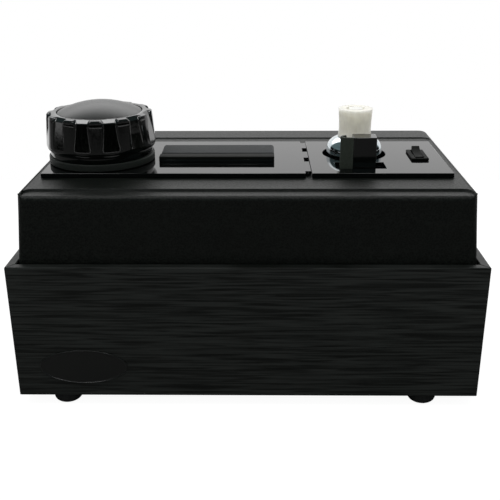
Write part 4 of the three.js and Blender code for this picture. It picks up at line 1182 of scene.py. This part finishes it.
@dataclass
class SuctionHead:
    """The slotted base with its smooth front lip and its velvet rear lip."""

    easing: float = 0.3
    front_edge: float = 0.8
    rear_front_rise: float = 1.5
    rear_back_rise: float = 3.3
    rear_edge: float = 0.7
    rear_back: float = 1.6
    end_radius: float = 2.2
    front_end: float = 0.6

    def build(self) -> None:
        """Builds the base and both lips, and finishes the duct and hose below."""
        base = eased_copy("suction_head", self.easing, segments=2)
        dress(base, GLOSS_PHENOLIC, "cabinet", "gloss_black", "suction_head")
        low, high = box_of("front_lip")
        section = fillet([
            (low[1], low[2], 0.1), (high[1], low[2], 0.1), (high[1], high[2], self.front_edge),
            (low[1], high[2], self.front_edge),
        ], closed=True, steps=6)
        front = self.lip("front_lip_smooth", section, (low, high), self.front_end)
        dress(front, FILLED_NYLON, "cabinet", "gloss_black", "front_lip")
        low, high = box_of("rear_lip")
        back_top = low[2] + self.rear_back_rise
        front_top = low[2] + self.rear_front_rise
        section = fillet([
            (low[1], low[2], 0.1), (high[1], low[2], 0.1), (high[1], back_top, self.rear_back),
            (low[1], front_top, self.rear_edge),
        ], closed=True, steps=10)
        high = np.array([high[0], high[1], back_top])
        rear = self.lip("rear_lip_velvet", section, (low, high), self.end_radius)
        dress(rear, PILE_VELVET, "cabinet", "velvet", "rear_lip", sharp_degrees=70.0)
        paint(MATT_MOULDED, "suction_duct")
        paint(MOULDED_RUBBER, "suction_hose")

    @staticmethod
    def lip(
        name: str, section: Array, box: tuple[Array, Array], end: float
    ) -> Thing:
        """Draws a section along X and rounds its two ends.

        Towards each end the section shrinks about its foot by the inset of a quarter circle, and
        the last row closes in a point on the end's middle.

        Args:
            name: the new object's name.
            section: the section's points in Y and Z.
            box: the lip's lowest and highest corner.
            end: the radius of the ends' rounding.

        Returns:
            The object.
        """
        low, high = box
        turn = np.linspace(0.0, np.pi / 2.0, 8)
        rise = low[0] + end * (1.0 - np.sin(turn))[::-1]
        inset = end * (1.0 - np.cos(turn))[::-1]
        run = np.linspace(low[0] + end, high[0] - end, 25)[1:-1]
        stations = np.concatenate([rise, run, low[0] + high[0] - rise[::-1]])
        insets = np.concatenate([inset, np.zeros(len(run)), inset[::-1]])
        middle = (low[1] + high[1]) / 2.0
        half = (high[1] - low[1]) / 2.0
        tall = high[2] - low[2]
        y = middle + (section[None, :, 0] - middle) * (1.0 - insets[:, None] / half)
        z = low[2] + (section[None, :, 1] - low[2]) * (1.0 - insets[:, None] / tall)
        x = np.broadcast_to(stations[:, None], y.shape)
        rows = np.stack([x, y, z], -1)
        first = np.broadcast_to(rows[0].mean(0), rows[0].shape)
        final = np.broadcast_to(rows[-1].mean(0), rows[-1].shape)
        return grid_object(name, np.concatenate([first[None], rows, final[None]]))


@dataclass
class Capstan:
    """The roller on its dome, the pull lever and the sliding drive under the deck."""

    fullness: float = 2.5
    foot: float = 14.2
    dome_centre: float = 3.0
    dome_cut: float = 6.0
    boss: float = 10.0
    shaft_bore: float = 4.3
    waist: float = 13.5
    waist_low: float = 7.0
    lip_radius: float = 0.9
    crown: float = 14.5
    pocket: float = 8.0
    pocket_depth: float = 3.4
    hook: float = 5.1
    hook_wall: float = 2.2
    split: float = 6.0
    lever_easing: float = 0.5

    def place(self) -> Array:
        """Gives the capstan's axis on the plate's top."""
        return middle_on("capstan_dome", "right_plate")

    def build(self) -> None:
        """Builds the dome, roller, nut and lever, and finishes the drive."""
        self.build_dome()
        self.build_roller()
        nut = eased_copy("roller_nut", 0.4, segments=2)
        dress(nut, WHITE_NYLON, "capstan", "white_plastic", "roller_nut")
        self.build_lever()
        paint(
            ZINC_STEEL, "capstan_shaft", "carriage", "guide_rod_front", "guide_rod_rear",
            "rod_bracket_left", "rod_bracket_right", "return_spring", "drive_gearbox", "drive_motor",
        )

    def build_dome(self) -> None:
        """Builds the plated dome, with its boss below.

        Its radius is R (1 - (z/h)^n)^(1/n) at the height z over its centre, where R is the widest
        radius and n the fullness, and h is such that the dome meets the roller's foot.
        """
        centre = self.place()
        radius, bottom, top = turned_sizes("capstan_dome", centre)
        share = (1.0 - (self.foot / radius) ** self.fullness) ** (1.0 / self.fullness)
        half_height = (top - self.dome_centre) / share
        height = np.linspace(-self.dome_cut, top, 48)
        lift = np.abs(height - self.dome_centre) / half_height
        curve = np.column_stack([
            radius * (1.0 - lift ** self.fullness) ** (1.0 / self.fullness), height,
        ])
        foot = np.array([[self.shaft_bore, bottom], [self.boss, bottom], [self.boss, -self.dome_cut]])
        crown = np.array([[self.shaft_bore, top]])
        dome = revolve("capstan_dome_plated", np.concatenate([foot, curve, crown]), centre, 128, True)
        dress(dome, POLISHED_PLATE, "capstan", "bright_metal", "capstan_dome")

    def build_roller(self) -> None:
        """Builds the latex roller: a waist between a foot and a slightly wider rounded top.

        Its radius falls to the waist and rises to the top along two S curves of the height.
        """
        centre = self.place()
        bottom, top = turned_sizes("capstan_roller", centre)[1:]
        rise = np.linspace(0.35, top - bottom - self.lip_radius, 40)
        fall = (self.foot - self.waist) * (1.0 - smooth_step(rise / self.waist_low))
        widen = (self.crown - self.waist) * smooth_step(
            (rise - self.waist_low) / (2.0 * (top - bottom - self.waist_low))
        ) * 2.0
        side = np.column_stack([self.waist + fall + widen, bottom + rise])
        turn = np.linspace(0.0, np.pi / 2.0, 7)[1:]
        last = side[-1, 0]
        lip = np.column_stack([
            last - self.lip_radius * (1.0 - np.cos(turn)), top - self.lip_radius * (1.0 - np.sin(turn)),
        ])
        floor = top - self.pocket_depth
        inside = np.array([
            [self.pocket + 0.5, top], [self.pocket + 0.12, top - 0.12], [self.pocket, top - 0.5],
            [self.pocket, floor], [self.shaft_bore, floor], [self.shaft_bore, bottom],
            [self.foot - 0.35, bottom],
        ])
        roller = revolve("capstan_roller_latex", np.concatenate([side, lip, inside]), centre, 128, True)
        dress(roller, LATEX_RUBBER, "capstan", "cream_rubber", "capstan_roller", sharp_degrees=50.0)

    def build_lever(self) -> None:
        """Builds the lever: a gloss block, and at its left a rolled, hollow finger hook."""
        low, high = box_of("pull_lever")
        x0, y0 = low[0], low[1]
        x1, y1 = high[0], high[1]
        centre_x = x0 + self.hook
        centre_y = y0 + self.hook
        split = self.place()[0] - self.split
        quarter = np.pi / 2.0
        inner = np.linspace(-quarter, -3.0 * quarter, 25)
        outer = np.linspace(quarter, 3.0 * quarter, 33)
        small = self.hook - self.hook_wall
        corners = np.array([[split, y0], [x1, y0], [x1, y1], [split, y1]])
        block = prism("pull_lever_block", corners, upright, low[2], high[2])
        add_bevel(block, self.lever_easing)
        dress(block, GLOSS_PHENOLIC, "carriage", "matt_black", "pull_lever")
        outline = np.concatenate([
            [[split, y0], [split, y0 + self.hook_wall]],
            np.column_stack([centre_x + small * np.cos(inner), centre_y + small * np.sin(inner)]),
            np.column_stack([centre_x + self.hook * np.cos(outer), centre_y + self.hook * np.sin(outer)]),
        ])
        hook = prism("pull_lever_hook", outline, upright, low[2], high[2])
        add_bevel(hook, self.lever_easing)
        # The hook gets the lighter copy of the nylon: painted light on its front face
        dress(hook, NYLON_PAINTED_LIT, "carriage", "matt_black")


@dataclass
class Switch:
    """The rocker switch in its bezel."""

    easing: float = 0.5
    half_width: float = 3.4
    tilt_degrees: float = 9.0
    foot_half: float = 8.6
    foot_drop: float = 4.0
    half_length: float = 11.6
    end_rise: float = 4.7
    dish: float = 2.2
    dish_power: float = 2.2
    key_easing: float = 0.45

    def build(self) -> None:
        """Builds the bezel and the key."""
        bezel = eased_copy("switch_body", self.easing)
        dress(bezel, FILLED_NYLON, "cabinet", "matt_black", "switch_body")
        self.build_key()

    def build_key(self) -> None:
        """Builds the key: a dished section across the pivot, tipped towards its front.

        The top falls from both ends to the middle as a power of the share of the half length.
        """
        pivot = np.array(frame_joint("rocker_tip")["pos_m"]) / MM
        share = np.linspace(1.0, -1.0, 25)
        ends = np.abs(share) ** self.dish_power
        top = np.column_stack([share * self.half_length, self.end_rise - self.dish * (1.0 - ends)])
        foot = np.array([[-self.foot_half, -self.foot_drop], [self.foot_half, -self.foot_drop]])
        section = np.concatenate([foot, top])
        tilt = np.radians(self.tilt_degrees)
        turn = np.array([[np.cos(tilt), -np.sin(tilt)], [np.sin(tilt), np.cos(tilt)]])
        section = section @ turn.T + pivot[1:]
        key = prism(
            "rocker_key", section, crosswise, pivot[0] - self.half_width, pivot[0] + self.half_width
        )
        add_bevel(key, self.key_easing)
        dress(key, FILLED_NYLON, "rocker", "gloss_black", "rocker")


def frame_joint(name: str) -> dict:
    """Gives a joint's row of the record."""
    return next(joint for joint in frame["joints"] if joint["name"] == name)


@dataclass
class Inside:
    """Tank, vacuum unit, leads and the fittings in the back panel."""

    easing: float = 0.4

    def build(self) -> None:
        """Finishes the solids, and eases those that show from behind."""
        paint(NATURAL_POLYTHENE, "waste_tank", "tank_lid")
        paint(MATT_MOULDED, "drain_tube", "fan_base", "fan_housing")
        paint(PRESSED_ALUMINIUM, "vacuum_fan")
        paint(ZINC_STEEL, "vacuum_shaft", "vacuum_motor")
        paint(MOULDED_RUBBER, "inlet_lead", "vacuum_lead", "drive_lead")
        for node, finish, body, slot in (
            ("exhaust_grille", MATT_MOULDED, "cabinet", "matt_black"),
            ("mains_inlet", MATT_MOULDED, "cabinet", "matt_black"),
            ("drain_plug", MOULDED_RUBBER, "plug", "rubber"),
        ):
            piece = eased_copy(node, self.easing, segments=2)
            dress(piece, finish, body, slot, node)


@dataclass
class Studio:
    """Camera, lamps, surroundings and floor."""

    lens: float = 56.66
    sensor: float = 36.0
    eye: tuple[float, float, float] = (11.20, -662.70, 351.52)
    pan_degrees: float = 0.90
    pitch_degrees: float = 68.43
    roll_degrees: float = -0.29
    floor_half: float = 520.0
    lamp_side: float = 0.35
    lamp_watts: float = 3.0
    sweep_low: Level = (1.05, 1.05, 1.05)
    sweep_high: Level = (2.6, 2.6, 2.6)
    ceiling: Level = (0.15, 0.16, 0.16)
    fill: Level = (0.65, 0.65, 0.65)
    room_high: Level = (0.12, 0.165, 0.17)
    room_low: Level = (0.004, 0.004, 0.004)
    room_under: Level = (0.13, 0.13, 0.13)
    band: Level = (1.0, 1.0, 1.0)
    room_rise: Span = (0.17, 0.26)
    under_rise: Span = (-0.10, -0.07)
    band_rise: Span = (-0.055, -0.045)
    band_fall: Span = (-0.012, -0.022)
    ceiling_rise: Span = (0.84, 0.90)
    sweep_rise: Span = (0.34, 0.52)
    sweep_behind: Span = (0.50, 0.62)
    floor_tone: float = 0.15
    floor_glow: float = 0.94

    def build(self) -> None:
        """Builds the camera, the lamps, the world and the floor."""
        self.build_camera()
        self.build_lamp("softbox_left", (-0.565, -0.220, 1.216), (-0.130, -0.057, 0.219))
        self.build_lamp("softbox_right", (0.147, -0.203, 1.279), (-0.108, -0.055, 0.219))
        self.build_world()
        self.build_floor()
        bpy.context.scene.view_settings.view_transform = "Standard"

    def build_camera(self) -> None:
        """Places the camera that was fitted to the cabinet's corners."""
        data = bpy.data.cameras.new("camera")
        data.lens = self.lens
        data.sensor_width = self.sensor
        camera = bpy.data.objects.new("camera", data)
        bpy.context.scene.collection.objects.link(camera)
        turn = (
            Matrix.Rotation(np.radians(self.pan_degrees), 4, "Z")
            @ Matrix.Rotation(np.radians(self.pitch_degrees), 4, "X")
            @ Matrix.Rotation(np.radians(self.roll_degrees), 4, "Z")
        )
        camera.matrix_world = Matrix.Translation(Vector(self.eye) * MM) @ turn
        bpy.context.scene.camera = camera

    def build_lamp(self, name: str, place: tuple, aim: tuple) -> None:
        """Hangs one square softbox that faces a point.

        Args:
            name: the lamp's name.
            place: where it hangs, in metres.
            aim: the point that it faces, in metres.
        """
        data = bpy.data.lights.new(name, "AREA")
        data.shape = "SQUARE"
        data.size = self.lamp_side
        data.energy = self.lamp_watts
        lamp = bpy.data.objects.new(name, data)
        bpy.context.scene.collection.objects.link(lamp)
        way = Vector(aim) - Vector(place)
        turn = way.to_track_quat("-Z", "Y").to_matrix().to_4x4()
        lamp.matrix_world = Matrix.Translation(Vector(place)) @ turn

    def build_world(self) -> None:
        """Surrounds the machine: white to the eye, a lit sweep behind and a dim room in front.

        What lights and reflects depends on the direction. The sweep behind brightens upwards, the
        ceiling is dim, and the room in front is black at eye level and blue-grey above that,
        with a thin bright band just under the horizon. Matt surfaces see an even, plain light.
        """
        world = bpy.data.worlds.new("studio")
        bpy.context.scene.world = world
        world.use_nodes = True
        tree = world.node_tree
        tree.nodes.clear()
        way = add_node(tree, "ShaderNodeTexCoord").outputs["Generated"]
        axes = add_node(tree, "ShaderNodeSeparateXYZ", {"Vector": way}).outputs
        up = axes["Z"]
        room = mix_colour(tree, self.step(tree, up, self.room_rise), self.room_low, self.room_high)
        room = mix_colour(tree, self.step(tree, up, self.under_rise), self.room_under, room)
        rising = self.step(tree, up, self.band_rise)
        falling = self.step(tree, up, self.band_fall)
        band = add_node(tree, "ShaderNodeMath", {0: rising, 1: falling}, operation="MULTIPLY").outputs[0]
        room = mix_colour(tree, band, room, self.band)
        room = mix_colour(tree, self.step(tree, up, self.ceiling_rise), room, self.ceiling)
        paths = add_node(tree, "ShaderNodeLightPath").outputs
        sweep = mix_colour(tree, self.step(tree, up, self.sweep_rise), self.sweep_low, self.sweep_high)
        colour = mix_colour(tree, self.step(tree, axes["Y"], self.sweep_behind), room, sweep)
        colour = mix_colour(tree, paths["Is Diffuse Ray"], colour, self.fill)
        colour = mix_colour(tree, paths["Is Camera Ray"], colour, (1.0, 1.0, 1.0))
        sky = add_node(tree, "ShaderNodeBackground", {"Color": colour, "Strength": 1.0})
        add_node(tree, "ShaderNodeOutputWorld", {"Surface": sky.outputs["Background"]})

    @staticmethod
    def step(tree: Tree, value: Socket, span: Span) -> Socket:
        """Gives a value that rises from 0 to 1 between two levels of another.

        Args:
            tree: the node tree.
            value: the value that is read.
            span: the levels that give 0 and 1.

        Returns:
            The socket that gives the value.
        """
        return add_node(
            tree, "ShaderNodeMapRange", {"Value": value, "From Min": span[0], "From Max": span[1]},
            interpolation_type="SMOOTHSTEP",
        ).outputs["Result"]

    def build_floor(self) -> None:
        """Lays the pale floor: white to the eye with a faint shadow, and grey in reflections."""
        half = self.floor_half
        corners = np.array([[-half, -half, 0.0], [half, -half, 0.0], [half, half, 0.0], [-half, half, 0.0]])
        floor = mesh_object("floor", corners, [[0, 1, 2, 3]], outward=False)
        material = bpy.data.materials.new("pale_floor")
        material.use_nodes = True
        tree = material.node_tree
        tree.nodes.clear()
        seen = add_node(tree, "ShaderNodeLightPath").outputs["Is Camera Ray"]
        tone = (self.floor_tone, self.floor_tone, self.floor_tone, 1.0)
        matt = add_node(tree, "ShaderNodeBsdfDiffuse", {"Color": tone}).outputs[0]
        glow = add_node(
            tree, "ShaderNodeEmission", {"Color": (1.0, 1.0, 1.0, 1.0), "Strength": self.floor_glow}
        ).outputs[0]
        bright = add_node(tree, "ShaderNodeAddShader", {0: matt, 1: glow}).outputs[0]
        shader = add_node(tree, "ShaderNodeMixShader", {0: seen, 1: matt, 2: bright}).outputs[0]
        add_node(tree, "ShaderNodeOutputMaterial", {"Surface": shader})
        floor.data.materials.append(material)


def main() -> None:
    """Builds the machine piece by piece."""
    logging.basicConfig(level=logging.INFO, format="%(message)s")
    Studio().build()
    for part in (Cabinet(), Hood(), Deck(), Hub(), SuctionHead(), Capstan(), Switch(), Inside()):
        LOG.info("building %s", type(part).__name__)
        part.build()


if __name__ == "__main__":
    main()
